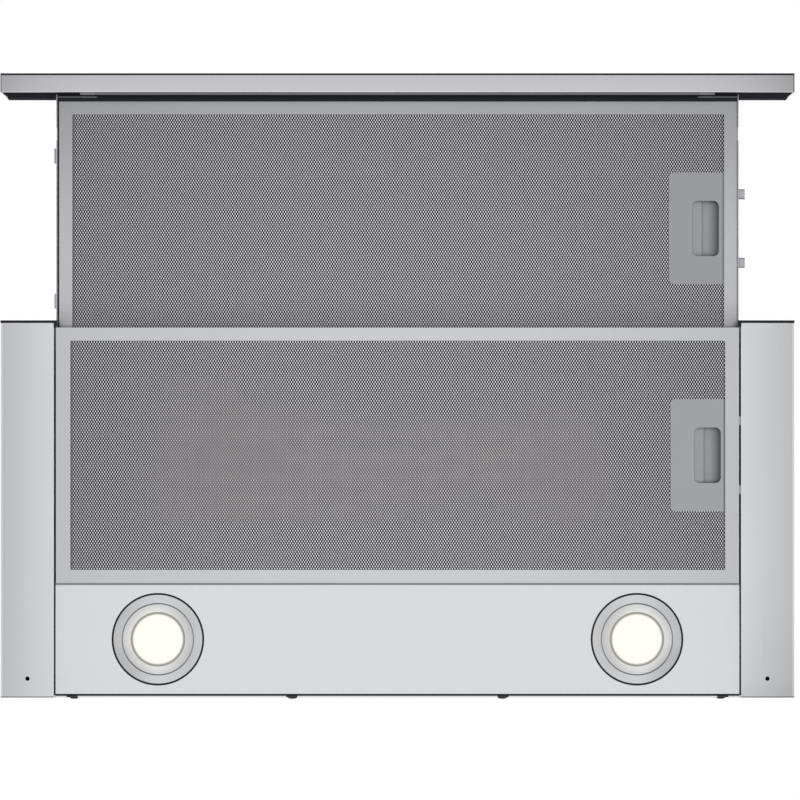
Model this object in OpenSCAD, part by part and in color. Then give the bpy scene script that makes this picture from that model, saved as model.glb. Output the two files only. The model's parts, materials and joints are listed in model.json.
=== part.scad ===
// Telescopic range hood, 60 cm wide, drawn with its drawer pulled out.
// X runs across the hood, the wall is the plane y = 0, the cabinet's underside is the plane z = 0.

/* [Base] */
// Outside width of the base
hood_w = 598; // [520:1:900]
// Height of the base below the cabinet
base_h = 41; // [40:0.5:50]
// Depth of the fixed base from the wall to the front of its wings
base_d = 284.2; // [270:0.1:330]
// Sheet thickness of the base and the casing
sheet = 1; // [0.8:0.1:1.2]
// Width of each side wing
wing_w = 40.35; // [38.5:0.05:50]
// Height of the lip on a wing's inner edge, which the filters hook on
lip_h = 1.9; // [1.5:0.1:2]
// Thickness of the dark cap on the front of a wing
cap_t = 1.9; // [1:0.1:4]
// Radius of the fixing hole in each wing
wing_hole_r = 1.35; // [1:0.05:2.5]
// Distance of that hole from the wing's outer face
wing_hole_side = 20.4; // [12:0.1:26]
// Distance of that hole from the wall
wing_hole_rear = 14.4; // [8:0.1:30]
// Distance of the outer rear screws from the outside of the base
rear_screw_side = 53.9; // [50:0.1:58]
// Distance of the inner rear screws from the hood's middle
rear_screw_in = 79.6; // [60:0.1:100]

/* [Casing] */
// Distance of the casing's side from the outside of the base
casing_inset = 37; // [32:0.5:38]
// Height of the casing above the cabinet's underside
casing_h = 385; // [370:1:480]
// Width of the fold along the casing's front edges
casing_fold = 12; // [10:1:20]
// Width of the casing's feet
foot_w = 14; // [12:1:18]
// Height of the casing's rear wall below the cabinet's underside
rear_drop = 5; // [3:0.5:8]
// Distance from the outside of the base to the cabinet's side boards
cabinet_gap = 17; // [16:0.5:19]
// Width of a mounting bracket
bracket_w = 100; // [90:1:120]
// Height of a mounting bracket's leg on the casing
bracket_h = 40; // [34:1:50]
// Height of a mounting bracket's leg on the cabinet
bracket_leg = 70; // [60:1:80]
// Distance between a bracket's cabinet screws along the board
bracket_hole_w = 60; // [50:1:70]
// Distance between a bracket's cabinet screws up the board
bracket_hole_h = 40; // [30:1:50]

/* [Drawer] */
// Travel of the drawer, and how far out it stands here
drawer_out = 171; // [120:1:200]
// Depth of the front bar with its fascia
bar_d = 14.8; // [13:0.1:24]
// Thickness of the fascia plate
fascia_t = 1.7; // [1:0.1:3]
// Distance between the clips of the bar's return lip
clip_pitch = 80; // [60:1:100]
// Gap between the closed front bar and the wings
bar_gap = 0.7; // [0.4:0.1:2]
// Sheet thickness of the carriage
carriage_t = 0.8; // [0.6:0.1:1]
// Side gap between the carriage and a wing
carriage_gap = 0.25; // [0.2:0.05:0.6]
// Gap between the closed carriage and the wall
carriage_rear = 13; // [12:0.5:20]
// Length of the roof over the carriage
roof_len = 175; // [120:1:200]
// Depth of the front cross-member's lower flange
front_flange = 5; // [3:0.5:8]

/* [Filters] */
// Depth of each filter from front to rear
filter_d = 192.5; // [170:0.5:205]
// Thickness of each filter
filter_t = 9; // [8.5:0.1:9.2]
// Sheet thickness of a filter frame
frame_t = 0.8; // [0.6:0.1:0.8]
// Thickness of the metal in the mesh pack, pressed flat
mesh_t = 2.4; // [1.5:0.1:6]
// Width of the frame at a filter's sides
frame_side = 10.9; // [9:0.1:14]
// Width of the frame at a filter's front and rear
frame_end = 10; // [8:0.5:14]
// Height step from the rear filter up to the front filter
level_gap = 4; // [4:0.1:6]
// Side gap between a filter and the carriage
filter_side_gap = 0.3; // [0.2:0.05:0.6]
// Width of a hook tab
tab_w = 11.3; // [8:0.1:16]
// Distance between a filter's two hook tabs
tab_pitch = 110; // [90:1:140]
// Reach of a tab beyond the frame
tab_reach = 3.1; // [2.8:0.05:3.6]
// Thickness of tabs and tongues
tab_t = 1.4; // [1:0.1:1.6]

/* [Filter latch] */
// Width of the latch plate
latch_w = 40.4; // [36:0.1:46]
// Length of the latch plate from front to rear
latch_d = 84.5; // [80:0.5:96]
// Width of the finger opening
grip_w = 20.1; // [17:0.1:20.5]
// Length of the finger opening from front to rear
grip_d = 41.8; // [36:0.1:42.5]
// Corner radius of the finger opening
grip_r = 4.2; // [2:0.1:6]
// Width of the sloped lip that the finger pulls
grip_lip = 7.5; // [5:0.1:8]
// Travel of the latch
latch_travel = 6.2; // [5.6:0.1:6.4]
// Reach of the tongues beyond the frame
tongue_reach = 6.1; // [5:0.1:6.2]
// Width of a tongue
tongue_w = 7.5; // [5:0.1:9]
// Distance between the two tongues of a latch
tongue_pitch = 52; // [48:0.5:54]
// Outside radius of a latch spring
spring_r = 2.4; // [1.8:0.1:2.6]

/* [Slides] */
// Distance from the front ends of the closed slides to the front of the base
rail_front = 4.2; // [3.6:0.1:8]
// Height of a slide
rail_h = 13; // [12.8:0.1:13.2]
// Width of a slide between the carriage and its carrier
rail_w = 12; // [11.6:0.1:12.6]
// Sheet thickness of the slide members
rail_t = 1; // [0.8:0.05:1.05]
// Gap that the nylon glides run in
glide_gap = 1.2; // [1.1:0.05:1.3]
// Distance of the closed slides from the wall
rail_rear = 15; // [13:0.5:16]

/* [Lamps] */
// Depth of the lamp panel
lamp_panel_d = 83.5; // [76:0.5:90]
// Gap between the lamp panel and the wall
lamp_panel_rear = 1.5; // [1.2:0.1:3]
// Height of the lamp panel's folded edges
lamp_panel_h = 9; // [6:0.5:10]
// Distance of a lamp's axis from the outside of the base
lamp_side = 118.6; // [90:0.1:140]
// Distance of a lamp's axis from the wall
lamp_rear = 44; // [42:0.5:46]
// Radius of a lamp's outer bezel
bezel_r = 34.5; // [31:0.1:36]
// Radius of a lamp's inner ring
ring_r = 26.7; // [24.5:0.1:28]
// Radius of a lamp's lens
lens_r = 19.2; // [16:0.1:20]
// Height of the can over a lamp
can_h = 16; // [10:0.5:17]

/* [Fan] */
// Depth of the fan's axis below the casing's top
fan_drop = 155; // [153:1:180]
// Distance of the fan's axis from the wall
fan_rear = 175; // [172:1:178]
// Radius of the impeller
impeller_r = 70; // [50:1:74]
// Smallest radius of the scroll
scroll_min_r = 80; // [78:1:84]
// Largest radius of the scroll
scroll_max_r = 105; // [100:1:108]
// Height of the scroll's mouth above the fan's axis
scroll_top = 100; // [98:1:110]
// Width of the scroll between its side plates
scroll_w = 140; // [110:2:150]
// Wall thickness of the scroll
scroll_t = 2; // [1.5:0.1:2.5]
// Gap between a side plate of the scroll and the impeller
impeller_gap = 10; // [8:0.5:14]
// Width of an impeller blade
blade_w = 11; // [8:0.5:12]
// Number of impeller blades
blade_n = 24; // [12:1:36]
// Radius of the fan inlet in each side plate
inlet_r = 62; // [54:0.5:64]
// Radius of the fan shaft
shaft_r = 4; // [3:0.1:5]
// Radius of the motor
motor_r = 44; // [36:1:48]
// Length of the motor
motor_l = 60; // [40:1:80]
// Gap between the scroll and the motor
motor_gap = 20; // [16:1:24]
// Width of the mains box
mains_w = 96; // [80:1:110]
// Height of the mains box
mains_h = 130; // [110:1:150]
// Depth of the mains box with its lid
mains_d = 45; // [36:1:50]
// Distance of the mains box from the casing's side
mains_side = 25; // [20:1:35]
// Height of the mains box above the cabinet's underside
mains_z = 120; // [100:1:140]

/* [Outlet] */
// Outside radius of the outlet spigot
outlet_r = 75; // [60:0.5:80]
// Height of the spigot above the casing
outlet_h = 42; // [36:1:60]
// Distance of the outlet's axis from the wall
outlet_rear = 115; // [105:1:120]
// Radius of the pin that the flaps swing on
flap_pin_r = 2; // [1.5:0.1:2.2]
// Distance from the spigot to each side of the outlet box
outlet_box_side = 5; // [4:0.5:8]
// Height of that pin above the casing
flap_pin_h = 7; // [6.5:0.1:9]

/* [Controls] */
// Number of push buttons
button_n = 5; // [1:1:5]
// Radius of a button
button_r = 5; // [3:0.1:6]
// Distance between neighbouring buttons
button_pitch = 18; // [15.5:0.5:22]
// Distance of the last button from the bar's end
button_side = 51; // [40:1:90]
// Travel of a button
button_travel = 1.5; // [0.5:0.1:1.8]

/* [Hidden] */
$fn = 48;

eps = 0.01;
cut = 20;
steel = [0.78, 0.78, 0.79];
pale_steel = [0.85, 0.85, 0.86];
dark = [0.2, 0.2, 0.21];
zinc = [0.66, 0.67, 0.68];
alloy = [0.6, 0.6, 0.61];
nylon = [0.93, 0.93, 0.9];

// Widths, measured from the middle of the hood
half_w = hood_w / 2;
wing_in = half_w - wing_w;
casing_half = half_w - casing_inset;
carriage_out = wing_in - carriage_gap;
carriage_in = carriage_out - carriage_t;
filter_half = carriage_in - filter_side_gap;
carrier_in = carriage_in - 0.1 - sheet;
upright_out = carrier_in - rail_w;
upright_in = upright_out - carriage_t;
cabinet_half = half_w - cabinet_gap;

// Heights, from the underside of the base upwards
z_bottom = -base_h;
lip_top = z_bottom + lip_h;
rear_filter_z = z_bottom + 1;
front_filter_z = rear_filter_z + filter_t + level_gap;
tab_z = lip_h - 0.8;
carriage_z = front_filter_z - 2;
deck_z = front_filter_z + filter_t + 0.6;
rail_z = deck_z + carriage_t + 0.8;
fan_z = casing_h - fan_drop;
roof_z = -2;
lamp_panel_z = z_bottom + 0.3;

// Depths with the drawer closed, the wall at y = 0
bar_rear = -(base_d + bar_gap);
bar_front = bar_rear - bar_d;
front_filter_y = bar_rear + front_flange + 0.2;
lamp_panel_y = -(lamp_panel_rear + lamp_panel_d);
rear_filter_y = lamp_panel_y - 1.3 - filter_d;
filter_mid = filter_d / 2;
rail_len = base_d - rail_front - rail_rear;

// Latch places across a filter
window_x = filter_half - frame_side;
latch_x1 = window_x - 0.3;
latch_x0 = latch_x1 - latch_w;
grip_x1 = latch_x1 - 2.5;
grip_x0 = grip_x1 - grip_w;
latch_top = filter_t - frame_t;
slider_z = 1.4;
slider_top = latch_top - 1.3;
slider_x0 = grip_x0 - latch_travel - 0.8;
slider_x1 = grip_x1 + 6.5;
screw_r = 1.6;
screw_hole_r = 1.75;
screw_head_r = 4;
screw_head_h = 2.2;

// A block between two corners
module block(x0, x1, y0, y1, z0, z1) {
    translate([x0, y0, z0]) cube([x1 - x0, y1 - y0, z1 - z0]);
}

// The same shape on both sides of the hood
module both() {
    children();
    mirror([1, 0, 0]) children();
}

// The place of what travels with the drawer, a share of it for the middle slides
module pulled(share = 1) {
    translate([0, -drawer_out * share, 0]) children();
}

// A flat plate with rounded corners, its middle at the origin
module round_plate(w, d, h, r) {
    linear_extrude(h) {
        square([w - 2 * r, d], center = true);
        square([w, d - 2 * r], center = true);
        for (sx = [-1, 1], sy = [-1, 1]) {
            translate([sx * (w / 2 - r), sy * (d / 2 - r)]) circle(r);
        }
    }
}

// A ring on the Z axis
module ring(r_in, r_out, z0, z1) {
    translate([0, 0, z0]) rotate_extrude() translate([r_in, 0]) square([r_out - r_in, z1 - z0]);
}

// A pan-head screw on the Z axis, its seat at z = 0 and its shank below
module screw(length) {
    cylinder(r = screw_head_r, h = screw_head_h * 0.6);
    translate([0, 0, screw_head_h * 0.6]) {
        cylinder(r1 = screw_head_r, r2 = screw_head_r * 0.7, h = screw_head_h * 0.4, $fn = 32);
    }
    translate([0, 0, -length]) cylinder(r = screw_r, h = length + eps);
}

// Casing

front_screw_x = casing_half - casing_fold / 2;
front_screw_zs = [30, casing_h / 2, casing_h - 35];
foot_screw_x = casing_half + foot_w / 2;
foot_screw_ys = [-base_d + 24, -base_d / 2, -24];
bracket_y = -base_d / 2;
bracket_z = 60;
bracket_t = 1.5;
bracket_screw_z = bracket_z + bracket_h / 2;
bracket_screw_ys = [bracket_y - bracket_w * 0.35, bracket_y + bracket_w * 0.35];
gland_x = casing_half - 62;
gland_y = -60;

// Places of the front panel's screws, pointing forwards
module at_front_screws() {
    for (z = front_screw_zs) {
        both() translate([front_screw_x, -base_d, z]) rotate([90, 0, 0]) children();
    }
}

// Places of the screws through the casing's feet
module at_foot_screws() {
    for (y = foot_screw_ys) both() translate([foot_screw_x, y, sheet]) children();
}

// Places of the screws through the mounting brackets
module at_bracket_screws() {
    for (y = bracket_screw_ys) {
        both() translate([casing_half + bracket_t, y, bracket_screw_z]) rotate([0, 90, 0]) children();
    }
}

// Back and sides of the casing in one bent sheet
module casing_wrap() {
    color(zinc) difference() {
        union() {
            block(-casing_half, casing_half, -sheet, 0, 0, casing_h - sheet);
            block(-upright_out, upright_out, -sheet, 0, -rear_drop, eps);
            both() {
                block(casing_half - sheet, casing_half, -base_d + sheet, 0, 0, casing_h - sheet);
                block(casing_half - casing_fold, casing_half, -base_d + sheet,
                      -base_d + 2 * sheet, 0, casing_h - sheet);
                block(casing_half - eps, casing_half + foot_w, -base_d + sheet, 0, 0, sheet);
            }
        }
        at_front_screws() translate([0, 0, -cut]) cylinder(r = screw_hole_r, h = cut);
        at_foot_screws() translate([0, 0, -cut / 2]) cylinder(r = screw_hole_r, h = cut);
        at_bracket_screws() translate([0, 0, -cut / 2]) cylinder(r = screw_hole_r, h = cut);
    }
}

// Top of the casing, with the hole under the spigot
module top_plate() {
    color(zinc) difference() {
        block(-casing_half, casing_half, -base_d, 0, casing_h - sheet, casing_h);
        translate([0, -outlet_rear, casing_h - cut / 2]) cylinder(r = outlet_r - 2, h = cut);
        translate([gland_x, gland_y, casing_h - cut / 2]) cylinder(r = 6.2, h = cut);
    }
}

// Removable front of the casing
module front_panel() {
    color(zinc) difference() {
        block(-casing_half, casing_half, -base_d, -base_d + sheet, 0.3, casing_h - sheet);
        at_front_screws() translate([0, 0, -cut]) cylinder(r = screw_hole_r, h = cut * 2);
    }
}

// Angle that ties the two wings over the drawer
module front_tie() {
    color(zinc) {
        block(-casing_half + sheet, casing_half - sheet, -base_d + 2 * sheet,
              -base_d + 3 * sheet, 0, 20);
        block(-casing_half + sheet, casing_half - sheet, -base_d + 3 * sheet - eps,
              -base_d + 22, 0, sheet);
    }
}

// Screws of the front panel, the feet and the mounting brackets
module casing_screws() {
    color(zinc) {
        at_front_screws() screw(7);
        at_foot_screws() screw(6);
        at_bracket_screws() screw(6);
    }
}

// Stepped brackets that fasten the casing to the cabinet's side boards
module mounting_brackets() {
    t = bracket_t;
    y0 = bracket_y - bracket_w / 2;
    y1 = bracket_y + bracket_w / 2;
    step_z = bracket_z + bracket_h;
    color(zinc) both() difference() {
        union() {
            block(casing_half, casing_half + t, y0, y1, bracket_z, step_z);
            block(casing_half, cabinet_half, y0, y1, step_z - t, step_z);
            block(cabinet_half - t, cabinet_half, y0, y1, step_z - t, step_z + bracket_leg);
        }
        for (y = bracket_screw_ys) {
            translate([casing_half - cut / 2, y, bracket_screw_z]) rotate([0, 90, 0])
                cylinder(r = screw_hole_r, h = cut);
        }
        for (sy = [-1, 1], sz = [-1, 1]) {
            translate([cabinet_half - cut / 4, bracket_y + sy * bracket_hole_w / 2,
                       step_z + bracket_leg / 2 + sz * bracket_hole_h / 2])
                rotate([0, 90, 0]) cylinder(r = 2.5, h = cut);
        }
    }
}

// Outlet

outlet_box_z = fan_z + scroll_top;
outlet_box_w = 2 * (outlet_r + outlet_box_side);
throat_y0 = -fan_rear + scroll_min_r / 2;
throat_y1 = -fan_rear + scroll_max_r;
flap_z = casing_h + flap_pin_h;

// Sheet box that leads from the fan to the spigot
module outlet_box() {
    y0 = -outlet_rear - outlet_r - 3;
    y1 = min(-outlet_rear + outlet_r + 3, -sheet - 1);
    color(zinc) difference() {
        block(-outlet_box_w / 2, outlet_box_w / 2, y0, y1, outlet_box_z, casing_h - sheet);
        block(-outlet_box_w / 2 + 1.5, outlet_box_w / 2 - 1.5, y0 + 1.5, y1 - 1.5,
              outlet_box_z + 1.5, casing_h);
        block(-scroll_w / 2 + scroll_t, scroll_w / 2 - scroll_t, throat_y0 + scroll_t,
              throat_y1 - scroll_t, outlet_box_z - cut, outlet_box_z + cut);
    }
}

// Round spigot for the duct, with the ledge that the closed flaps rest on
module outlet_spigot() {
    color(dark) translate([0, -outlet_rear, 0]) difference() {
        union() {
            ring(outlet_r - 2, outlet_r + 14, casing_h, casing_h + 2);
            ring(outlet_r - 2, outlet_r, casing_h, casing_h + outlet_h);
            ring(outlet_r - 4.5, outlet_r - 1, flap_z - 2.1, flap_z - 1.1);
        }
        translate([-outlet_r - cut, 0, flap_z]) rotate([0, 90, 0])
            cylinder(r = flap_pin_r + 0.05, h = 2 * (outlet_r + cut));
    }
}

// Pin across the spigot
module flap_pin() {
    color(steel) translate([-outlet_r + 0.3, -outlet_rear, flap_z]) rotate([0, 90, 0])
        cylinder(r = flap_pin_r, h = 2 * outlet_r - 0.6);
}

// Half-round flap towards +Y, with knuckles at the given places along its pin
module flap(knuckles) {
    knuckle_r = flap_pin_r + 1.9;
    flap_r = outlet_r - 3;
    color(dark) translate([0, -outlet_rear, flap_z]) difference() {
        union() {
            intersection() {
                translate([0, 0, -0.8]) cylinder(r = flap_r, h = 1.6, $fn = 96);
                block(-outlet_r, outlet_r, knuckle_r + 0.7, outlet_r, -cut, cut);
            }
            for (x = knuckles) {
                translate([x, 0, 0]) rotate([0, 90, 0]) cylinder(r = knuckle_r, h = 16);
                block(x, x + 16, 0, knuckle_r + 1, -0.8, 0.8);
            }
        }
        translate([-outlet_r, 0, 0]) rotate([0, 90, 0])
            cylinder(r = flap_pin_r + 0.08, h = 2 * outlet_r);
    }
}

module flap_rear() {
    flap([-56, 24]);
}

module flap_front() {
    translate([0, -outlet_rear, 0]) mirror([0, 1, 0]) translate([0, outlet_rear, 0]) {
        flap([-38, 42]);
    }
}

// Fan

motor_x1 = -scroll_w / 2 - motor_gap;
shaft_x0 = motor_x1 + 2;
shaft_x1 = 22;

// Scroll outline towards +Y and +Z, inset from its outer face
function scroll_r(a) = scroll_max_r - (scroll_max_r - scroll_min_r) * a / 300;
function scroll_curve(inset) =
    [for (a = [0:10:290]) (scroll_r(a) - inset) * [cos(a), -sin(a)]];
function scroll_outline(inset, top) = concat(
    scroll_curve(inset),
    [[scroll_min_r / 2 + inset, scroll_min_r * sin(60) - 1.7 * inset],
     [scroll_min_r / 2 + inset, top],
     [scroll_max_r - inset, top]]);

// Turns a shape drawn on the XY plane to stand across the hood at the fan's axis
module at_fan(x = 0) {
    translate([x, -fan_rear, fan_z]) rotate([90, 0, 90]) children();
}

// Snail-shaped band of the fan housing
module fan_scroll() {
    color(alloy) at_fan(-scroll_w / 2) difference() {
        linear_extrude(scroll_w) polygon(scroll_outline(0, outlet_box_z - fan_z));
        translate([0, 0, -1]) linear_extrude(scroll_w + 2)
            polygon(scroll_outline(scroll_t, outlet_box_z - fan_z + 1));
    }
}

// Side plates of the fan housing, each with a bell mouth
module fan_side_plates() {
    color(alloy) for (side = [0, 1]) {
        at_fan() mirror([0, 0, side]) {
            difference() {
                translate([0, 0, scroll_w / 2]) linear_extrude(scroll_t)
                    polygon(scroll_outline(0, outlet_box_z - fan_z));
                translate([0, 0, scroll_w / 2 - 1]) cylinder(r = inlet_r - 1, h = cut, $fn = 96);
            }
            ring(inlet_r - 2, inlet_r, scroll_w / 2 - 6, scroll_w / 2 + scroll_t);
        }
    }
}

// Impeller with inlets on both sides
module fan_impeller() {
    half = scroll_w / 2 - impeller_gap;
    color(alloy) at_fan() {
        difference() {
            union() {
                translate([0, 0, -1]) cylinder(r = impeller_r, h = 2);
                translate([0, 0, -20]) cylinder(r = 14, h = 40);
            }
            translate([0, 0, -cut * 2]) cylinder(r = shaft_r + 0.05, h = cut * 4);
        }
        for (z = [-half, half - 2]) ring(impeller_r - blade_w - 3, impeller_r, z, z + 2);
        for (i = [0 : blade_n - 1]) rotate([0, 0, i * 360 / blade_n]) {
            translate([impeller_r - blade_w - 2, 0, 0]) rotate([0, 0, 25])
                block(0, blade_w, -0.6, 0.6, -half + 1, half - 1);
        }
    }
}

// Shaft from the motor into the impeller's hub
module fan_shaft() {
    color(steel) at_fan(shaft_x0) cylinder(r = shaft_r, h = shaft_x1 - shaft_x0);
}

// Motor beside the fan
module motor() {
    color(zinc) at_fan(motor_x1 - motor_l) difference() {
        union() {
            cylinder(r = motor_r, h = motor_l);
            translate([0, 0, 12]) cylinder(r = motor_r + 2, h = motor_l - 24);
            cylinder(r = 12, h = motor_l + 14);
        }
        translate([0, 0, motor_l - 2]) cylinder(r = shaft_r + 0.06, h = cut);
    }
}

// Spider that holds the motor on the fan's side plate
module motor_bracket() {
    leg_r0 = inlet_r + 6;
    leg_r1 = inlet_r + 14;
    color(zinc) at_fan(motor_x1) {
        difference() {
            union() {
                cylinder(r = motor_r + 4, h = 2);
                for (a = [60, 180, 300]) rotate([0, 0, a]) {
                    block(motor_r - 4, leg_r1, -6, 6, 0, 2);
                    block(leg_r0, leg_r1, -6, 6, 0, motor_gap - scroll_t);
                }
            }
            translate([0, 0, -1]) cylinder(r = 12.3, h = cut);
        }
    }
}

// Box of the mains parts on the rear wall
module mains_box() {
    x1 = casing_half - mains_side;
    x0 = x1 - mains_w;
    y0 = -sheet - mains_d;
    z1 = mains_z + mains_h;
    color(dark) {
        block(x0, x1, y0 + 4, -sheet, mains_z, z1);
        block(x0 - 2, x1 + 2, y0, y0 + 4, mains_z - 2, z1 + 2);
        for (z = [mains_z + 15, z1 - 15]) translate([x0 + 12, y0, z]) rotate([90, 0, 0]) {
            cylinder(r = 3, h = 1.5);
        }
    }
}

// Cord inlet in the top plate
module cable_gland() {
    color(dark) translate([gland_x, gland_y, casing_h]) difference() {
        union() {
            cylinder(r = 11, h = 4, $fn = 6);
            cylinder(r = 8, h = 14);
            translate([0, 0, -12]) cylinder(r = 6, h = 14);
            translate([0, 0, -sheet - 5]) cylinder(r = 10, h = 5, $fn = 6);
        }
        translate([0, 0, -cut]) cylinder(r = 3.5, h = 2 * cut);
    }
}

// Base

// Side wing: a channel open towards the drawer, at the right of the hood
module wing() {
    rear = 0;
    front = -base_d + cap_t;
    difference() {
        union() {
            block(half_w - sheet, half_w, front, rear, z_bottom, 0);
            block(wing_in, half_w, front, rear, z_bottom, z_bottom + sheet);
            block(wing_in, wing_in + sheet, front, rear, z_bottom, lip_top);
            block(carrier_in, half_w, front, rear, -sheet, 0);
            block(wing_in + sheet, half_w, rear - sheet, rear, z_bottom, 0);
        }
        translate([half_w - wing_hole_side, -wing_hole_rear, z_bottom - 1])
            cylinder(r = wing_hole_r, h = sheet + 2);
        for (y = foot_screw_ys) {
            translate([foot_screw_x, y, -cut / 2]) cylinder(r = screw_hole_r, h = cut);
        }
    }
}

module wing_right() {
    color(steel) wing();
}

module wing_left() {
    color(steel) mirror([1, 0, 0]) wing();
}

// Dark caps on the wings' front ends, notched where the latch tongues pass
module wing_caps() {
    notch = tongue_reach + 2;
    color(dark) both() difference() {
        block(wing_in, half_w, -base_d, -base_d + cap_t, z_bottom, 0);
        block(wing_in - 1, filter_half + notch, -base_d - 1, -base_d + cap_t + 1,
              lip_top + 0.5, 1);
    }
}

rear_screw_xs = [half_w - rear_screw_side, rear_screw_in];
rear_screw_z = -25;

// Places of the rear screws, pointing backwards
module at_rear_screws() {
    for (x = rear_screw_xs) both() translate([x, 0, rear_screw_z]) rotate([-90, 0, 0]) children();
}

// Rear wall of the base, stepped to lap inside the casing
module rear_rail() {
    color(steel) difference() {
        union() {
            block(-wing_in + 0.35, wing_in - 0.35, -sheet, 0, z_bottom + 3, -rear_drop - 0.3);
            block(-upright_out, upright_out, -2 * sheet, 0, -rear_drop - 1.3, -rear_drop - 0.3);
            block(-upright_out, upright_out, -2 * sheet, -sheet, -rear_drop - 1.3, 8);
        }
        at_rear_screws() translate([0, 0, -cut]) cylinder(r = screw_hole_r, h = 2 * cut);
    }
}

module rear_screws() {
    color(dark) at_rear_screws() screw(9);
}

// Lamps

lamp_x = half_w - lamp_side;

// Both lamp places
module at_lamps() {
    both() translate([lamp_x, -lamp_rear, lamp_panel_z]) children();
}

// Pan that closes the base between the filter and the wall
module lamp_panel() {
    half = wing_in - 1.05;
    y1 = -lamp_panel_rear;
    z1 = lamp_panel_z + lamp_panel_h;
    t = carriage_t;
    color(pale_steel) difference() {
        union() {
            block(-half, half, lamp_panel_y, y1, lamp_panel_z, lamp_panel_z + t);
            block(-half, half, lamp_panel_y, lamp_panel_y + t, lamp_panel_z, z1);
            both() block(half - t, half, lamp_panel_y, y1, lamp_panel_z, z1);
            block(-half, half, y1 - t, y1, lamp_panel_z, rear_screw_z + 5);
        }
        at_lamps() translate([0, 0, -cut / 2]) cylinder(r = bezel_r + 0.4, h = cut, $fn = 96);
        at_rear_screws() translate([0, 0, -cut]) cylinder(r = screw_hole_r, h = 2 * cut);
    }
}

// Outer bezels, flush with the panel and held by a flange above it
module lamp_bezels() {
    t = carriage_t;
    $fn = 96;
    color(steel) at_lamps() {
        ring(ring_r + 0.3, bezel_r, 0, t + 0.2);
        ring(ring_r + 0.3, bezel_r + 2.5, t, t + 1);
    }
}

// Inner rings, with the sleeve that holds the can
module lamp_rings() {
    t = carriage_t + 1;
    $fn = 96;
    color(steel) at_lamps() {
        ring(lens_r + 0.9, ring_r, 0, t);
        ring(ring_r - 2.2, ring_r, t - eps, t + 8);
        ring(ring_r - 2.2, ring_r + 3.5, t, t + 1);
    }
}

// Lenses, with an olive seal printed round the rim
module lamp_lenses() {
    t = carriage_t + 1;
    $fn = 96;
    color([1, 0.98, 0.94]) at_lamps() {
        translate([0, 0, 0.2]) cylinder(r = lens_r, h = t - 0.2 + eps);
        translate([0, 0, t]) cylinder(r = lens_r + 2.6, h = 1);
    }
}

// Cans over the lamps, each with its driver and light source
module lamp_cans() {
    t = carriage_t + 2;
    color(zinc) at_lamps() {
        translate([0, 0, t]) cylinder(r = ring_r - 2.5, h = can_h - 4);
        translate([0, 0, t + can_h - 4 - eps]) cylinder(r = ring_r - 8, h = 4);
    }
}

// Slides

// Angle under a wing's top that carries the slide
module rail_carriers() {
    color(zinc) both() {
        block(carrier_in, carrier_in + sheet, -rail_rear - rail_len, -rail_rear, rail_z, -sheet);
        block(carrier_in, carrier_in + 11, -rail_rear - rail_len, -rail_rear,
              -2 * sheet, -sheet);
    }
}

// Channel at the right of the hood, open towards its middle
module channel(x1, depth, z0, z1) {
    y0 = -rail_rear - rail_len;
    block(x1 - rail_t, x1, y0, -rail_rear, z0, z1);
    block(x1 - depth, x1, y0, -rail_rear, z0, z0 + rail_t);
    block(x1 - depth, x1, y0, -rail_rear, z1 - rail_t, z1);
}

// Fixed outer members
module rail_outers() {
    color(steel) both() channel(carrier_in, 8, rail_z, rail_z + rail_h);
}

middle_x = carrier_in - rail_t - 1.9;
middle_z0 = rail_z + rail_t + glide_gap;
middle_z1 = rail_z + rail_h - rail_t - glide_gap;
inner_z0 = middle_z0 + rail_t + glide_gap;
inner_z1 = middle_z1 - rail_t - glide_gap;
glide_t = glide_gap - 0.2;

// Middle member with its four nylon glide strips
module rail_middle() {
    y0 = -rail_rear - rail_len;
    color(steel) channel(middle_x, 7, middle_z0, middle_z1);
    color(nylon) {
        for (z = [middle_z0 - glide_t, middle_z0 + rail_t,
                  middle_z1 - rail_t - glide_t, middle_z1]) {
            block(middle_x - 6, middle_x - rail_t - 0.2, y0, -rail_rear, z, z + glide_t);
        }
    }
}

module rail_middle_right() {
    pulled(0.5) rail_middle();
}

module rail_middle_left() {
    pulled(0.5) mirror([1, 0, 0]) rail_middle();
}

// Inner members on the carriage
module rail_inners() {
    color(steel) pulled() both() {
        block(upright_out, middle_x - rail_t - 1.1, -rail_rear - rail_len, -rail_rear,
              inner_z0, inner_z1);
    }
}

// Carriage

// Slots in a carriage side for the filter's tabs or tongues
module side_slots(width, pitch) {
    gap = 0.3;
    for (s = [-1, 1]) {
        y = front_filter_y + filter_mid + s * pitch / 2;
        block(carriage_in - 1, carriage_out + 1, y - width / 2 - gap, y + width / 2 + gap,
              front_filter_z + tab_z - 0.2, front_filter_z + tab_z + tab_t + 0.2);
    }
}

// Side of the carriage at the right: wall, deck and upright in one bent strip
module carriage_side() {
    y1 = -carriage_rear;
    block(carriage_in, carriage_out, bar_rear, y1, carriage_z, deck_z + carriage_t);
    block(upright_in, carriage_out, bar_rear, y1, deck_z, deck_z + carriage_t);
    block(upright_in, upright_out, bar_rear, y1, deck_z, roof_z);
}

// The notch in front of the first slot of each carriage side
module side_notch() {
    y1 = front_filter_y + filter_mid - (tab_pitch + tab_w) / 2 - 5.8;
    block(carriage_in - 1, carriage_out + 1, y1 - 10, y1, carriage_z - 1, carriage_z + 3);
}

// Both sides of the carriage, with slots for tongues at the right and tabs at the left
module carriage_sides() {
    color(zinc) pulled() {
        difference() {
            carriage_side();
            side_slots(tongue_w, tongue_pitch);
            side_notch();
        }
        mirror([1, 0, 0]) difference() {
            carriage_side();
            side_slots(tab_w, tab_pitch);
            side_notch();
        }
    }
}

// Sheet over the part of the carriage that comes out
module carriage_roof() {
    color(zinc) pulled() {
        block(-upright_out, upright_out, bar_rear, bar_rear + roof_len, roof_z,
              roof_z + carriage_t);
    }
}

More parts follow.
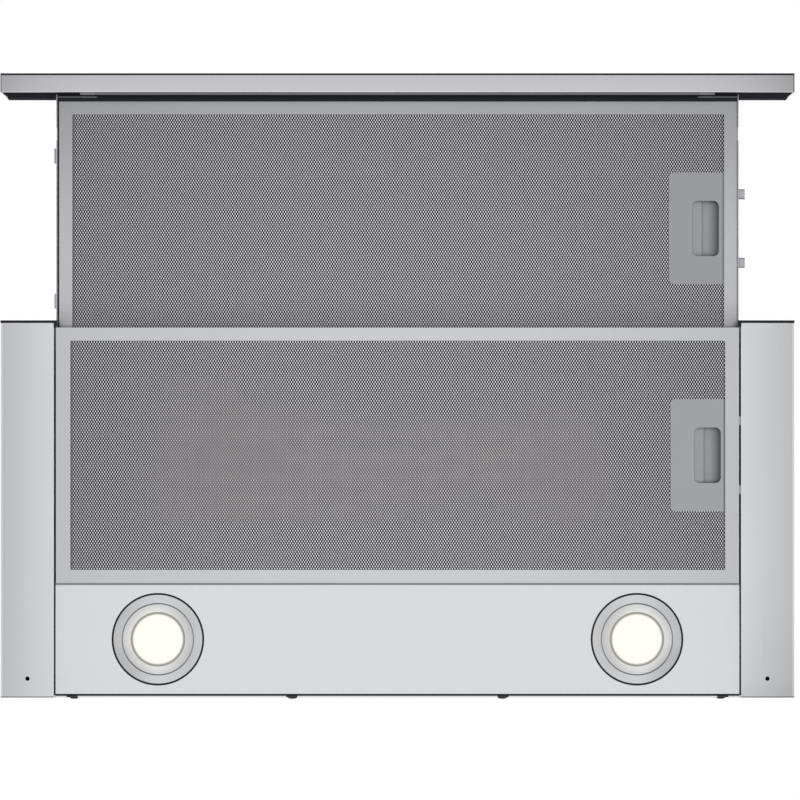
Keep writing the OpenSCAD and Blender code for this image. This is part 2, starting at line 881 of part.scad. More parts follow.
// Dark cross-member behind the bar
module carriage_front() {
    color(dark) pulled() {
        block(-carriage_in, carriage_in, bar_rear, bar_rear + 1, carriage_z, deck_z - 0.2);
        block(-upright_in, upright_in, bar_rear, bar_rear + 1, carriage_z, roof_z);
        block(-carriage_in, carriage_in, bar_rear, bar_rear + front_flange,
              carriage_z, carriage_z + 1);
    }
}

// Cross-member at the tail of the carriage
module carriage_rear_member() {
    z0 = deck_z + carriage_t;
    color(zinc) pulled() {
        block(-upright_in, upright_in, -carriage_rear - 1, -carriage_rear, z0, roof_z);
        block(-upright_in, upright_in, -carriage_rear - 8, -carriage_rear, z0, z0 + 1);
    }
}

// Small angles under the front corners of the carriage
module corner_brackets() {
    z1 = carriage_z;
    color(steel) pulled() both() {
        block(carriage_in - 30.6, carriage_in - 0.2, bar_rear + 1.4, bar_rear + 2.6, z1 - 1, z1);
        block(carriage_in - 29.6, carriage_in - 18.6, bar_rear + 0.3, bar_rear + 4.6,
              z1 - 1.6, z1);
    }
}

// Front bar

button_z = z_bottom / 2;
fascia_y = bar_front + fascia_t;
liner_y = bar_rear - 1;

function button_x(i) = half_w - button_side - (button_n - i) * button_pitch;

// Holes for the buttons
module button_holes() {
    for (i = [1 : button_n]) {
        translate([button_x(i), bar_front - 1, button_z]) rotate([-90, 0, 0])
            cylinder(r = button_r + 0.3, h = fascia_t + sheet + 2);
    }
}

// Steel shell of the bar, open at the back
module front_bar() {
    color(steel) pulled() difference() {
        block(-half_w, half_w, fascia_y, bar_rear, z_bottom, 0);
        block(-half_w + sheet, half_w - sheet, fascia_y + sheet, bar_rear + 1,
              z_bottom + sheet, -sheet);
        button_holes();
    }
}

// Dark fascia plate with rounded ends
module fascia_plate() {
    r = fascia_t / 2;
    color(dark) pulled() difference() {
        translate([0, 0, z_bottom]) linear_extrude(base_h) {
            translate([-half_w + r, bar_front]) square([hood_w - 2 * r, fascia_t]);
            translate([-half_w, bar_front + r]) square([hood_w, fascia_t - r]);
            for (s = [-1, 1]) translate([s * (half_w - r), bar_front + r]) circle(r);
        }
        button_holes();
    }
}

// Dark liner that closes the back of the bar, with posts for the control board
module bar_liner() {
    color(dark) pulled() {
        block(-half_w + sheet, half_w - sheet, liner_y, bar_rear, z_bottom + sheet, -sheet);
        for (x = board_post_xs, z = board_post_zs) {
            translate([x, liner_y + eps, z]) rotate([90, 0, 0]) cylinder(r = 2, h = 1.5 + eps);
        }
    }
}

// Steel return lip under the back of the bar, with three small clips
module bar_lip() {
    reach = half_w - 60;
    z0 = z_bottom + 0.4;
    color(steel) pulled() {
        block(-reach, reach, bar_rear, bar_rear + 0.8, z0, z_bottom + 8);
        block(-reach, reach, bar_rear, bar_rear + 1.9, z0, z0 + 0.8);
        for (x = [-clip_pitch, 0, clip_pitch]) {
            block(x - 1.5, x + 1.5, bar_rear + 0.3, bar_rear + 1.9, z_bottom, z0 + eps);
        }
    }
}

board_x0 = button_x(1) - 12;
board_x1 = button_x(button_n) + 12;
board_post_xs = [board_x0 + 4, board_x1 - 4];
board_post_zs = [button_z - 10, button_z + 10];
board_y = liner_y - 1.5;
button_y = bar_front + 0.2;
button_l = board_y - 1.2 - 0.6 - 0.2 - button_travel - button_y;

// Board behind the buttons, with one switch for each
module control_board() {
    color([0.12, 0.3, 0.2]) pulled() {
        block(board_x0, board_x1, board_y - 1.2, board_y, button_z - 13, button_z + 13);
        for (i = [1 : button_n]) {
            block(button_x(i) - 3, button_x(i) + 3, board_y - 1.8, board_y - 1.2 + eps,
                  button_z - 3, button_z + 3);
        }
    }
}

// Push button with the flange that holds it behind the bar's front
module button(i) {
    color(alloy) pulled() translate([button_x(i), button_y, button_z]) rotate([-90, 0, 0]) {
        cylinder(r = button_r, h = button_l);
        translate([0, 0, fascia_t + sheet + 0.1]) cylinder(r = button_r + 1.4, h = 1.2);
    }
}

module button_1() { button(1); }
module button_2() { button(2); }
module button_3() { button(3); }
module button_4() { button(4); }
module button_5() { button(5); }

// Filters: drawn with the front edge at y = 0 and the underside at z = 0

// Folded frame with its two hook tabs, and slots for the tongues
module filter_frame() {
    f = filter_half;
    t = frame_t;
    color(pale_steel) {
        difference() {
            block(-f, f, 0, filter_d, 0, filter_t);
            block(-f + t, f - t, t, filter_d - t, t, filter_t - t);
            block(-window_x, window_x, frame_end, filter_d - frame_end, -1, filter_t + 1);
            for (s = [-1, 1]) {
                y = filter_mid + s * tongue_pitch / 2;
                block(f - 2 * t, f + 1, y - tongue_w / 2 - 0.3, y + tongue_w / 2 + 0.3,
                      tab_z - 0.2, tab_z + tab_t + 0.2);
            }
        }
        for (s = [-1, 1]) {
            y = filter_mid + s * tab_pitch / 2;
            block(-f - tab_reach, -f + eps, y - tab_w / 2, y + tab_w / 2, tab_z, tab_z + tab_t);
        }
    }
}

// Pack of expanded metal inside the frame, cut out for the latch
module filter_mesh() {
    f = filter_half - frame_t;
    y0 = filter_mid - latch_d / 2 - 0.3;
    y1 = filter_mid + latch_d / 2 + 0.3;
    color(alloy) difference() {
        block(-f, f, frame_t, filter_d - frame_t, frame_t, frame_t + mesh_t);
        block(latch_x0 - 0.3, f + 1, y0, y1, 0, filter_t);
    }
}

// Latch housing: the visible plate with its finger opening, two walls and a cover
module latch_plate() {
    x_end = filter_half - frame_t - 0.1;
    y0 = filter_mid - latch_d / 2;
    y1 = filter_mid + latch_d / 2;
    grip_mid = (grip_x0 + grip_x1) / 2;
    r = 4;
    color(zinc) difference() {
        union() {
            translate([(latch_x0 + latch_x1) / 2, filter_mid, 0]) round_plate(latch_w, latch_d, 1, r);
            block(latch_x1 - r, latch_x1, y0, y1, 0, 1);
            block(latch_x0, latch_x0 + 1, y0 + r, y1 - r, 1 - eps, latch_top);
            block(latch_x0 + r, latch_x1, y0, y0 + 1, 1 - eps, latch_top);
            block(latch_x0 + r, latch_x1, y1 - 1, y1, 1 - eps, latch_top);
            block(latch_x0, x_end, y0, y1, latch_top - 1, latch_top);
        }
        translate([grip_mid, filter_mid, -1]) round_plate(grip_w, grip_d, 3, grip_r);
    }
}

// Sliding latch: finger cup with a sloped lip, and two tongues
module latch_slider() {
    lip_x = grip_x0 + grip_lip;
    half_d = tongue_pitch / 2 + tongue_w / 2;
    cup_half = grip_d / 2 + 0.7;
    x1 = filter_half + tongue_reach;
    color(zinc) translate([0, filter_mid, 0]) {
        translate([0, cup_half, 0]) rotate([90, 0, 0]) linear_extrude(2 * cup_half) polygon([
            [slider_x0, slider_z], [grip_x0 - 0.5, slider_z], [lip_x, slider_z + 1.4],
            [lip_x, slider_top - 0.8], [slider_x1 - 1.4, slider_top - 0.8],
            [slider_x1 - 1.4, slider_z], [slider_x1, slider_z], [slider_x1, slider_top],
            [slider_x0, slider_top]]);
        for (s = [-1, 1]) mirror([0, s < 0 ? 1 : 0, 0]) {
            block(slider_x0, slider_x1, cup_half - eps, half_d, slider_z, slider_top);
            block(slider_x1 - 1, x1, half_d - tongue_w, half_d, tab_z, tab_z + tab_t);
        }
    }
}

// Two springs behind the latch, each as its outer sleeve
module latch_springs() {
    x0 = latch_x0 + 1;
    color(steel) for (s = [-1, 1]) {
        translate([x0, filter_mid + s * 15, (slider_z + slider_top) / 2]) rotate([0, 90, 0])
            difference() {
                cylinder(r = spring_r, h = slider_x0 - x0);
                translate([0, 0, -1]) cylinder(r = spring_r - 0.6, h = cut * 2);
            }
    }
}

// Place of the fixed rear filter
module at_rear_filter() {
    translate([0, rear_filter_y, rear_filter_z]) children();
}

// Place of the front filter in the carriage
module at_front_filter() {
    pulled() translate([0, front_filter_y, front_filter_z]) children();
}

module front_filter_frame() { at_front_filter() filter_frame(); }
module front_filter_mesh() { at_front_filter() filter_mesh(); }
module front_latch_plate() { at_front_filter() latch_plate(); }
module front_latch_slider() { at_front_filter() latch_slider(); }
module front_latch_springs() { at_front_filter() latch_springs(); }
module rear_filter_frame() { at_rear_filter() filter_frame(); }
module rear_filter_mesh() { at_rear_filter() filter_mesh(); }
module rear_latch_plate() { at_rear_filter() latch_plate(); }
module rear_latch_slider() { at_rear_filter() latch_slider(); }
module rear_latch_springs() { at_rear_filter() latch_springs(); }

casing_wrap();
top_plate();
front_panel();
front_tie();
outlet_box();
outlet_spigot();
flap_pin();
fan_scroll();
fan_side_plates();
motor();
motor_bracket();
mains_box();
cable_gland();
wing_left();
wing_right();
wing_caps();
rear_rail();
lamp_panel();
lamp_bezels();
lamp_rings();
lamp_lenses();
lamp_cans();
rail_carriers();
rail_outers();
mounting_brackets();
rear_screws();
casing_screws();
carriage_sides();
carriage_roof();
carriage_front();
carriage_rear_member();  // carriage_rear
corner_brackets();
rail_inners();
front_bar();
fascia_plate();
bar_liner();
bar_lip();
control_board();
front_filter_frame();
front_filter_mesh();
front_latch_plate();
front_latch_slider();
front_latch_springs();
rear_filter_frame();
rear_filter_mesh();
rear_latch_plate();
rear_latch_slider();
rear_latch_springs();
rail_middle_left();
rail_middle_right();
button_1();
button_2();
button_3();
button_4();
button_5();
flap_front();
flap_rear();
fan_impeller();
fan_shaft();
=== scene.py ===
"""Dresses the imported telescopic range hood: finishes, filter mesh, lamps, screws, camera and light."""
import json
import logging
import math
from collections.abc import Callable, Iterable
from dataclasses import dataclass
from enum import Enum
from functools import cache
from typing import Protocol

import bmesh
import bpy
from mathutils import Matrix, Vector


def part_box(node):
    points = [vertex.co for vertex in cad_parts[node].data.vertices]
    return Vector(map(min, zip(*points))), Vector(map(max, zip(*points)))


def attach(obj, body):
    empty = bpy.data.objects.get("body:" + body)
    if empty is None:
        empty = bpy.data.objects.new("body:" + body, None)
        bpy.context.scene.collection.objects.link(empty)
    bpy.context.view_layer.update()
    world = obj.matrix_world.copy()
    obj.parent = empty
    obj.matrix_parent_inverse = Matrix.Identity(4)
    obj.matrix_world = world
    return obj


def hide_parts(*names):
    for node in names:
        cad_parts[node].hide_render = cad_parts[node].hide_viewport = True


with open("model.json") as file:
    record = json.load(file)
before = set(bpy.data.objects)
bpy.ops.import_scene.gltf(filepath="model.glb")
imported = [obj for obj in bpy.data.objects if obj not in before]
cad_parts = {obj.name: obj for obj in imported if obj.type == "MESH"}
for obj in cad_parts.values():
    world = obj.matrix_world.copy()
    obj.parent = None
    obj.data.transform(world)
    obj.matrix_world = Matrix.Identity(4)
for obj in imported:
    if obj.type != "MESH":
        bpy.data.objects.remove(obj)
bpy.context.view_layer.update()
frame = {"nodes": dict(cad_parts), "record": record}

LOG = logging.getLogger("hood")
MM = 0.001
FULL_TURN = 2 * math.pi

MERGE = 0.002 * MM      # vertices closer than this are one
TOUCH = 0.02 * MM       # room between a thin added strip and what it lies on
FILM = 0.2 * MM         # how far such a strip stands out

Colour = tuple[float, float, float]
Point = tuple[float, float, float]
Span = tuple[float, float]


def seen(red: float, green: float, blue: float) -> Colour:
    """Turns a colour as a screen shows it into linear light.

    Args:
        red: Red, 0 to 255.
        green: Green, 0 to 255.
        blue: Blue, 0 to 255.

    Returns:
        The colour in linear light, 0 to 1.
    """
    return tuple(
        v / 255 / 12.92 if v <= 10.3 else ((v / 255 + 0.055) / 1.055) ** 2.4
        for v in (red, green, blue)
    )


class Signal:
    """A number that varies over a surface: an output socket, with arithmetic that adds Math nodes."""

    def __init__(self, graph: "Graph", socket: bpy.types.NodeSocket) -> None:
        """Wraps an output socket of a graph."""
        self.graph = graph
        self.socket = socket

    def _math(self, operation: str, first: "Signal | float", second: "Signal | float" = 0.0) -> "Signal":
        """Adds one Math node.

        Args:
            operation: The Math node's operation.
            first: Its first value.
            second: Its second value.

        Returns:
            The node's result.
        """
        node = self.graph.node("ShaderNodeMath", {"operation": operation}, {0: first, 1: second})
        return Signal(self.graph, node.outputs[0])

    def __add__(self, other: "Signal | float") -> "Signal":
        """Adds."""
        return self._math("ADD", self, other)

    def __radd__(self, other: float) -> "Signal":
        """Adds to a plain number."""
        return self._math("ADD", other, self)

    def __sub__(self, other: "Signal | float") -> "Signal":
        """Subtracts."""
        return self._math("SUBTRACT", self, other)

    def __rsub__(self, other: float) -> "Signal":
        """Subtracts from a plain number."""
        return self._math("SUBTRACT", other, self)

    def __mul__(self, other: "Signal | float") -> "Signal":
        """Multiplies."""
        return self._math("MULTIPLY", self, other)

    def __rmul__(self, other: float) -> "Signal":
        """Multiplies a plain number."""
        return self._math("MULTIPLY", other, self)

    def __truediv__(self, other: "Signal | float") -> "Signal":
        """Divides."""
        return self._math("DIVIDE", self, other)

    def __abs__(self) -> "Signal":
        """Takes the sign away."""
        return self._math("ABSOLUTE", self)

    def __gt__(self, limit: float) -> "Signal":
        """Gives 1 where the number is over a limit, and 0 elsewhere."""
        return self._math("GREATER_THAN", self, limit)

    def __lt__(self, limit: float) -> "Signal":
        """Gives 1 where the number is under a limit, and 0 elsewhere."""
        return self._math("LESS_THAN", self, limit)

    def wave(self, length: float) -> "Signal":
        """Gives the cosine that repeats after the given length."""
        return self._math("COSINE", self * (FULL_TURN / length))

    def root(self) -> "Signal":
        """Takes the square root."""
        return self._math("SQRT", self)

    def rise(self, low: float, high: float) -> "Signal":
        """Rises smoothly from 0 at the low value to 1 at the high one.

        Args:
            low: The value that gives 0.
            high: The value that gives 1.

        Returns:
            The smooth step.
        """
        node = self.graph.node(
            "ShaderNodeMapRange", {"interpolation_type": "SMOOTHSTEP"},
            {"Value": self, "From Min": low, "From Max": high},
        )
        return Signal(self.graph, node.outputs[0])


class Graph:
    """The node tree of one material, or of the world."""

    def __init__(self, owner: bpy.types.Material | bpy.types.World) -> None:
        """Starts an empty tree for a material or a world."""
        owner.use_nodes = True
        self.owner = owner
        self.tree = owner.node_tree
        self.tree.nodes.clear()

    @classmethod
    def of_material(cls, name: str) -> "Graph":
        """Starts the tree of a new material."""
        return cls(bpy.data.materials.new(name))

    def node(self, kind: str, settings: dict | None = None, inputs: dict | None = None) -> bpy.types.Node:
        """Adds a node, sets it and feeds it.

        Args:
            kind: The node's type.
            settings: Its properties by name.
            inputs: The value, socket or Signal for each of its sockets, by name or number.

        Returns:
            The new node.
        """
        node = self.tree.nodes.new(kind)
        for name, value in (settings or {}).items():
            setattr(node, name, value)
        for name, value in (inputs or {}).items():
            source = value.socket if isinstance(value, Signal) else value
            if isinstance(source, bpy.types.NodeSocket):
                self.tree.links.new(source, node.inputs[name])
            else:
                node.inputs[name].default_value = source
        return node

    def place(self, stretch: Point = (1, 1, 1), centre: Point = (0, 0, 0)) -> bpy.types.NodeSocket:
        """Gives object coordinates, centred and then stretched.

        Args:
            stretch: Factor along X, Y and Z.
            centre: The point that becomes the pattern's origin, in metres.

        Returns:
            The vector socket.
        """
        where = self.node("ShaderNodeTexCoord").outputs["Object"]
        shift = tuple(-c * s for c, s in zip(centre, stretch))
        node = self.node("ShaderNodeMapping", None, {"Vector": where, "Location": shift, "Scale": stretch})
        return node.outputs["Vector"]

    def axes(self, centre: Point = (0, 0, 0)) -> tuple[Signal, Signal, Signal]:
        """Gives the X, Y and Z of a surface point, in metres from a centre."""
        node = self.node("ShaderNodeSeparateXYZ", None, {0: self.place(centre=centre)})
        return tuple(Signal(self, socket) for socket in node.outputs)

    def rays(self) -> tuple[Signal, Signal, Signal]:
        """Gives 1 for rays from the camera, for reflected ones and for ones through glass, and else 0."""
        path = self.node("ShaderNodeLightPath")
        kinds = ("Camera", "Glossy", "Transmission")
        return tuple(Signal(self, path.outputs[f"Is {kind} Ray"]) for kind in kinds)

    def noise(self, where: bpy.types.NodeSocket, scale: float = 1.0, detail: float = 2.0) -> Signal:
        """Gives soft noise between 0 and 1, about 0.5 on average.

        Args:
            where: The coordinates.
            scale: Waves per unit of the coordinates.
            detail: How many finer waves are added.

        Returns:
            The noise.
        """
        node = self.node("ShaderNodeTexNoise", None, {"Vector": where, "Scale": scale, "Detail": detail})
        return Signal(self, node.outputs[0])

    def cells(self, where: bpy.types.NodeSocket, scale: float) -> bpy.types.Node:
        """Adds a Voronoi node, with the given number of cells per unit."""
        return self.node("ShaderNodeTexVoronoi", None, {"Vector": where, "Scale": scale})

    def shade(self, colour: Colour, tone: Signal) -> bpy.types.NodeSocket:
        """Makes a colour lighter and darker over the surface.

        Args:
            colour: The colour where the tone is 1.
            tone: The factor.

        Returns:
            The colour's socket.
        """
        node = self.node("ShaderNodeVectorMath", {"operation": "SCALE"}, {0: colour, "Scale": tone})
        return node.outputs[0]

    def blend(self, share: Signal, first: object, second: object) -> bpy.types.NodeSocket:
        """Mixes two colours.

        Args:
            share: The second colour's share.
            first: A colour or a colour socket.
            second: A colour or a colour socket.

        Returns:
            The mixed colour's socket.
        """
        ends = [(*c, 1.0) if isinstance(c, tuple) else c for c in (first, second)]
        node = self.node("ShaderNodeMix", {"data_type": "RGBA"}, {0: share, 6: ends[0], 7: ends[1]})
        return node.outputs[2]

    def relief(self, height: Signal, depth: float, strength: float = 1.0) -> bpy.types.NodeSocket:
        """Turns a height into a normal.

        Args:
            height: The height, 0 to 1.
            depth: How high 1 is, in metres.
            strength: How much of it shows.

        Returns:
            The normal's socket.
        """
        inputs = {"Height": height, "Distance": depth, "Strength": strength}
        return self.node("ShaderNodeBump", None, inputs).outputs[0]

    def finish(self, inputs: dict) -> bpy.types.Material:
        """Closes the tree with the Principled shader.

        Args:
            inputs: The value, socket or Signal for each socket that isn't left as it is.

        Returns:
            The material.
        """
        wide = {k: (*v, 1.0) if isinstance(v, tuple) and len(v) == 3 else v for k, v in inputs.items()}
        shader = self.node("ShaderNodeBsdfPrincipled", None, wide)
        self.node("ShaderNodeOutputMaterial", None, {"Surface": shader.outputs[0]})
        return self.owner


class Grain(Enum):
    """The direction that brushing runs in, as the stretch of its streaks."""

    ACROSS = (9.0, 1100.0, 1100.0)
    DEEP = (1100.0, 9.0, 1100.0)


class Finish(Protocol):
    """What makes a material.

    Attributes:
        name: The material's name.
    """

    name: str

    def build(self) -> bpy.types.Material:
        """Builds the material."""


@dataclass(frozen=True)
class Brushed:
    """Brushed or rolled sheet metal.

    Attributes:
        name: The material's name.
        colour: The metal's colour.
        grain: The direction of its brushing.
        streak: How much the streaks differ in tone.
        roughness: How blurred its reflections are.
    """

    name: str
    colour: Colour
    grain: Grain = Grain.ACROSS
    streak: float = 0.10
    roughness: float = 0.30

    def build(self) -> bpy.types.Material:
        """Builds the material."""
        graph = Graph.of_material(self.name)
        fine = graph.noise(graph.place(self.grain.value), 1.0, 3.0)
        broad_stretch = tuple(s / 7 for s in self.grain.value)
        broad = graph.noise(graph.place(broad_stretch), 1.0, 1.0)
        cloud = graph.noise(graph.place(), 9.0, 2.0)
        tone = 1 + (fine - 0.5) * self.streak + (broad - 0.5) * (self.streak * 0.6) + (cloud - 0.5) * 0.02
        return graph.finish({
            "Base Color": graph.shade(self.colour, tone * self._place_tone(graph)),
            "Metallic": 1.0,
            "Roughness": self.roughness + (fine - 0.5) * 0.08 + (cloud - 0.5) * 0.05,
            "Normal": graph.relief(fine, 0.006 * MM, 0.5),
        })

    def _place_tone(self, graph: Graph) -> "Signal | float":
        """Gives the factor by which the tone differs from place to place."""
        return 1.0


@dataclass(frozen=True)
class BrushedWithEnds(Brushed):
    """Brushed metal that has another tone at the hood's two sides.

    Attributes:
        end_x: Distance from the hood's middle at which that tone starts.
        end_tone: The factor for it.
    """

    end_x: float = 0.0
    end_tone: float = 1.0

    def _place_tone(self, graph: Graph) -> Signal:
        """Gives the factor by which the tone differs from place to place."""
        x, _, _ = graph.axes()
        return 1 + (abs(x) > self.end_x) * (self.end_tone - 1)


@dataclass(frozen=True)
class WingSteel(BrushedWithEnds):
    """Steel of the wings, with a painted highlight on its outer bend and painted shade at its rear and
    holes.

    Attributes:
        bend_x: Distance from the hood's middle at which the outer bend starts.
        bend_highlight_tone: The factor of the painted highlight on the bend.
        rim_y: Depth of the painted shade along the rear rim.
        rear_rim_shade_tone: The factor for it.
        hole_x: Distance of the holes from the hood's middle.
        hole_y: Distance of the holes from the wall.
        hole_r: Radius of the painted shade round them.
        dim_span: Where painted shade makes the right wing darker to the rear, counted from its hole.
        painted_rear_shade: Share of its light that is lost there.
        wall_span: Where the painted shade grows darker still, counted from its hole.
        wall_dim: Share of its light that is lost there.
    """

    bend_x: float = 297.4 * MM
    bend_highlight_tone: float = 1.27
    rim_y: float = 1.0 * MM
    rear_rim_shade_tone: float = 0.42
    hole_x: float = 278.6 * MM
    hole_y: float = 14.4 * MM
    hole_r: float = 1.65 * MM
    dim_span: Span = (-75 * MM, 14 * MM)
    painted_rear_shade: float = 0.10
    wall_span: Span = (0.0, 12 * MM)
    wall_dim: float = 0.08

    def _place_tone(self, graph: Graph) -> Signal:
        """Gives the factor by which the tone differs from place to place."""
        x, y, _ = graph.axes((0.0, -self.hole_y, 0.0))
        side = abs(x) - self.hole_x
        # Painted shade: near black within hole_r of each hole's middle.
        clear = (side * side + y * y).root() > self.hole_r
        # Painted highlight on the outer bend.
        bend = 1 + (abs(x) > self.bend_x) * (self.bend_highlight_tone - 1)
        # Painted shade along the rear rim.
        rim = 1 - (y > self.hole_y - self.rim_y) * (1 - self.rear_rim_shade_tone)
        # Painted shade: the right wing darker to the rear, and more so near the wall.
        painted_rear_shade = (x > 0.0) * (y.rise(*self.dim_span) * self.painted_rear_shade + y.rise(*self.wall_span) * self.wall_dim)
        return super()._place_tone(graph) * bend * rim * (1 - painted_rear_shade) * (0.02 + clear * 0.98)


@dataclass(frozen=True)
class BarSteel(BrushedWithEnds):
    """Steel of the front bar, with painted shade darker to the front and a painted highlight on its rear
    edge.

    Attributes:
        front_y: Distance of the bar's front from the wall.
        rear_y: Distance of the bar's rear from the wall.
        edge: Width of the painted highlight on the rear edge.
        painted_edge_tone: The factor for it.
        rear_tone: The factor at the bar's rear.
        front_dim: How much that factor falls up to the bar's front, as painted shade.
        right_span: Where painted shade makes the bar darker to the right.
        right_dim: How much the factor falls there.
    """

    front_y: float = 469.0 * MM
    rear_y: float = 455.9 * MM
    edge: float = 0.8 * MM
    painted_edge_tone: float = 1.24
    rear_tone: float = 1.035
    front_dim: float = 0.07
    right_span: Span = (200 * MM, 299 * MM)
    right_dim: float = 0.06

    def _place_tone(self, graph: Graph) -> Signal:
        """Gives the factor by which the tone differs from place to place."""
        x, y, _ = graph.axes()
        # Painted shade: darker to the front and to the right.
        front = abs(y).rise(self.rear_y, self.front_y) * self.front_dim
        painted_shade_slope = self.rear_tone - front - x.rise(*self.right_span) * self.right_dim
        # Painted highlight along the bar's rear edge.
        edge = 1 + (abs(y) < self.rear_y + self.edge) * (self.painted_edge_tone - 1)
        return super()._place_tone(graph) * painted_shade_slope * edge


BAR_SHADE: Span = (330 * MM, 490 * MM)       # distances from the wall between which each shade grows
REAR_SHADE: Span = (281 * MM, 303 * MM)
REAR_LINE: Span = (279 * MM, 282.4 * MM)


def recess_shade(graph: Graph, at_bar: float, at_rear: float) -> Signal:
    """Gives the tone of a part that lies deep in the drawer, in the shade at both of its ends.

    Args:
        graph: The material's tree.
        at_bar: Share of the light that is lost behind the front bar.
        at_rear: Share of the light that is lost above the rear filter.

    Returns:
        The factor for the tone.
    """
    _, y, _ = graph.axes()
    bar = 1 - abs(y).rise(*BAR_SHADE) * at_bar
    rear = 1 - (1 - abs(y).rise(*REAR_SHADE)) * at_rear
    line = 1 - (1 - abs(y).rise(*REAR_LINE)) * (at_rear * 2)
    return bar * rear * line


@dataclass(frozen=True)
class BrushedInShade(Brushed):
    """Brushed metal that lies deep in the drawer.

    Attributes:
        at_bar: Share of the light that is lost behind the front bar.
        at_rear: Share of the light that is lost above the rear filter.
    """

    at_bar: float = 0.37
    at_rear: float = 0.23

    def _place_tone(self, graph: Graph) -> Signal:
        """Gives the factor by which the tone differs from place to place."""
        return recess_shade(graph, self.at_bar, self.at_rear)


@dataclass(frozen=True)
class Galvanised:
    """Zinc-coated sheet with its frosty grains.

    Attributes:
        name: The material's name.
        colour: The zinc's colour.
        grain_per_metre: How many of the grains lie side by side in a metre.
    """

    name: str
    colour: Colour
    grain_per_metre: float = 110.0

    def build(self) -> bpy.types.Material:
        """Builds the material."""
        graph = Graph.of_material(self.name)
        where = graph.place()
        cell = graph.cells(where, self.grain_per_metre)
        split = graph.node("ShaderNodeSeparateColor", None, {0: cell.outputs["Color"]})
        spangle = Signal(graph, split.outputs[0])
        frost = graph.noise(where, 700.0, 3.0)
        stain = graph.noise(where, 7.0, 3.0)
        tone = 0.90 + spangle * 0.13 + (frost - 0.5) * 0.10 + (stain - 0.5) * 0.10
        return graph.finish({
            "Base Color": graph.shade(self.colour, tone),
            "Metallic": 0.85,
            "Roughness": 0.36 + spangle * 0.14 + (stain - 0.5) * 0.10,
            "Normal": graph.relief(frost, 0.02 * MM, 0.4),
        })


@dataclass(frozen=True)
class Moulded:
    """Moulded plastic or a baked coat, with a fine grained skin.

    Attributes:
        name: The material's name.
        colour: The colour.
        roughness: How blurred its reflections are.
        skin_per_metre: How many of the skin's bumps lie side by side in a metre.
        skin_depth: Height of those bumps.
        metallic: Share of metal in the look, for a metallic paint.
        shine: Strength of its own reflections, where 0.5 is common plastic.
    """

    name: str
    colour: Colour
    roughness: float = 0.5
    skin_per_metre: float = 1500.0
    skin_depth: float = 0.02 * MM
    metallic: float = 0.0
    shine: float = 0.5

    def build(self) -> bpy.types.Material:
        """Builds the material."""
        graph = Graph.of_material(self.name)
        where = graph.place()
        skin = graph.noise(where, self.skin_per_metre, 2.0)
        cloud = graph.noise(where, 14.0, 3.0)
        tone = 1 + (skin - 0.5) * 0.10 + (cloud - 0.5) * 0.08
        return graph.finish({
            "Base Color": graph.shade(self.colour, tone * self._place_tone(graph)),
            "Metallic": self.metallic,
            "Roughness": self.roughness + (skin - 0.5) * 0.10 + (cloud - 0.5) * 0.08,
            "Specular IOR Level": self.shine,
            "Normal": graph.relief(skin, self.skin_depth, 0.5),
        })

    def _place_tone(self, graph: Graph) -> "Signal | float":
        """Gives the factor by which the tone differs from place to place."""
        return 1.0


@dataclass(frozen=True)
class MouldedWithShadedEdge(Moulded):
    """Moulded part with painted shade along its right edge.

    Attributes:
        edge_x: Distance from the hood's middle at which that tone starts.
        painted_edge_tone: The factor for it.
    """

    edge_x: float = 0.0
    painted_edge_tone: float = 1.0

    def _place_tone(self, graph: Graph) -> Signal:
        """Gives the factor by which the tone differs from place to place."""
        x, _, _ = graph.axes()
        # Painted shade beyond edge_x, beside the frame's opening.
        return 1 + (x > self.edge_x) * (self.painted_edge_tone - 1)


def around_lamps(graph: Graph, lamp_x: float, lamp_y: float) -> tuple[Signal, Signal, Signal]:
    """Measures from the nearer lamp's axis.

    Args:
        graph: The material's tree.
        lamp_x: Distance of a lamp's axis from the hood's middle.
        lamp_y: Place of the lamps' axes from the wall.

    Returns:
        How far a point lies outwards, to the rear, and away from the axis.
    """
    x, y, _ = graph.axes((0.0, lamp_y, 0.0))
    side = abs(x) - lamp_x
    return side, y, (side * side + y * y).root()


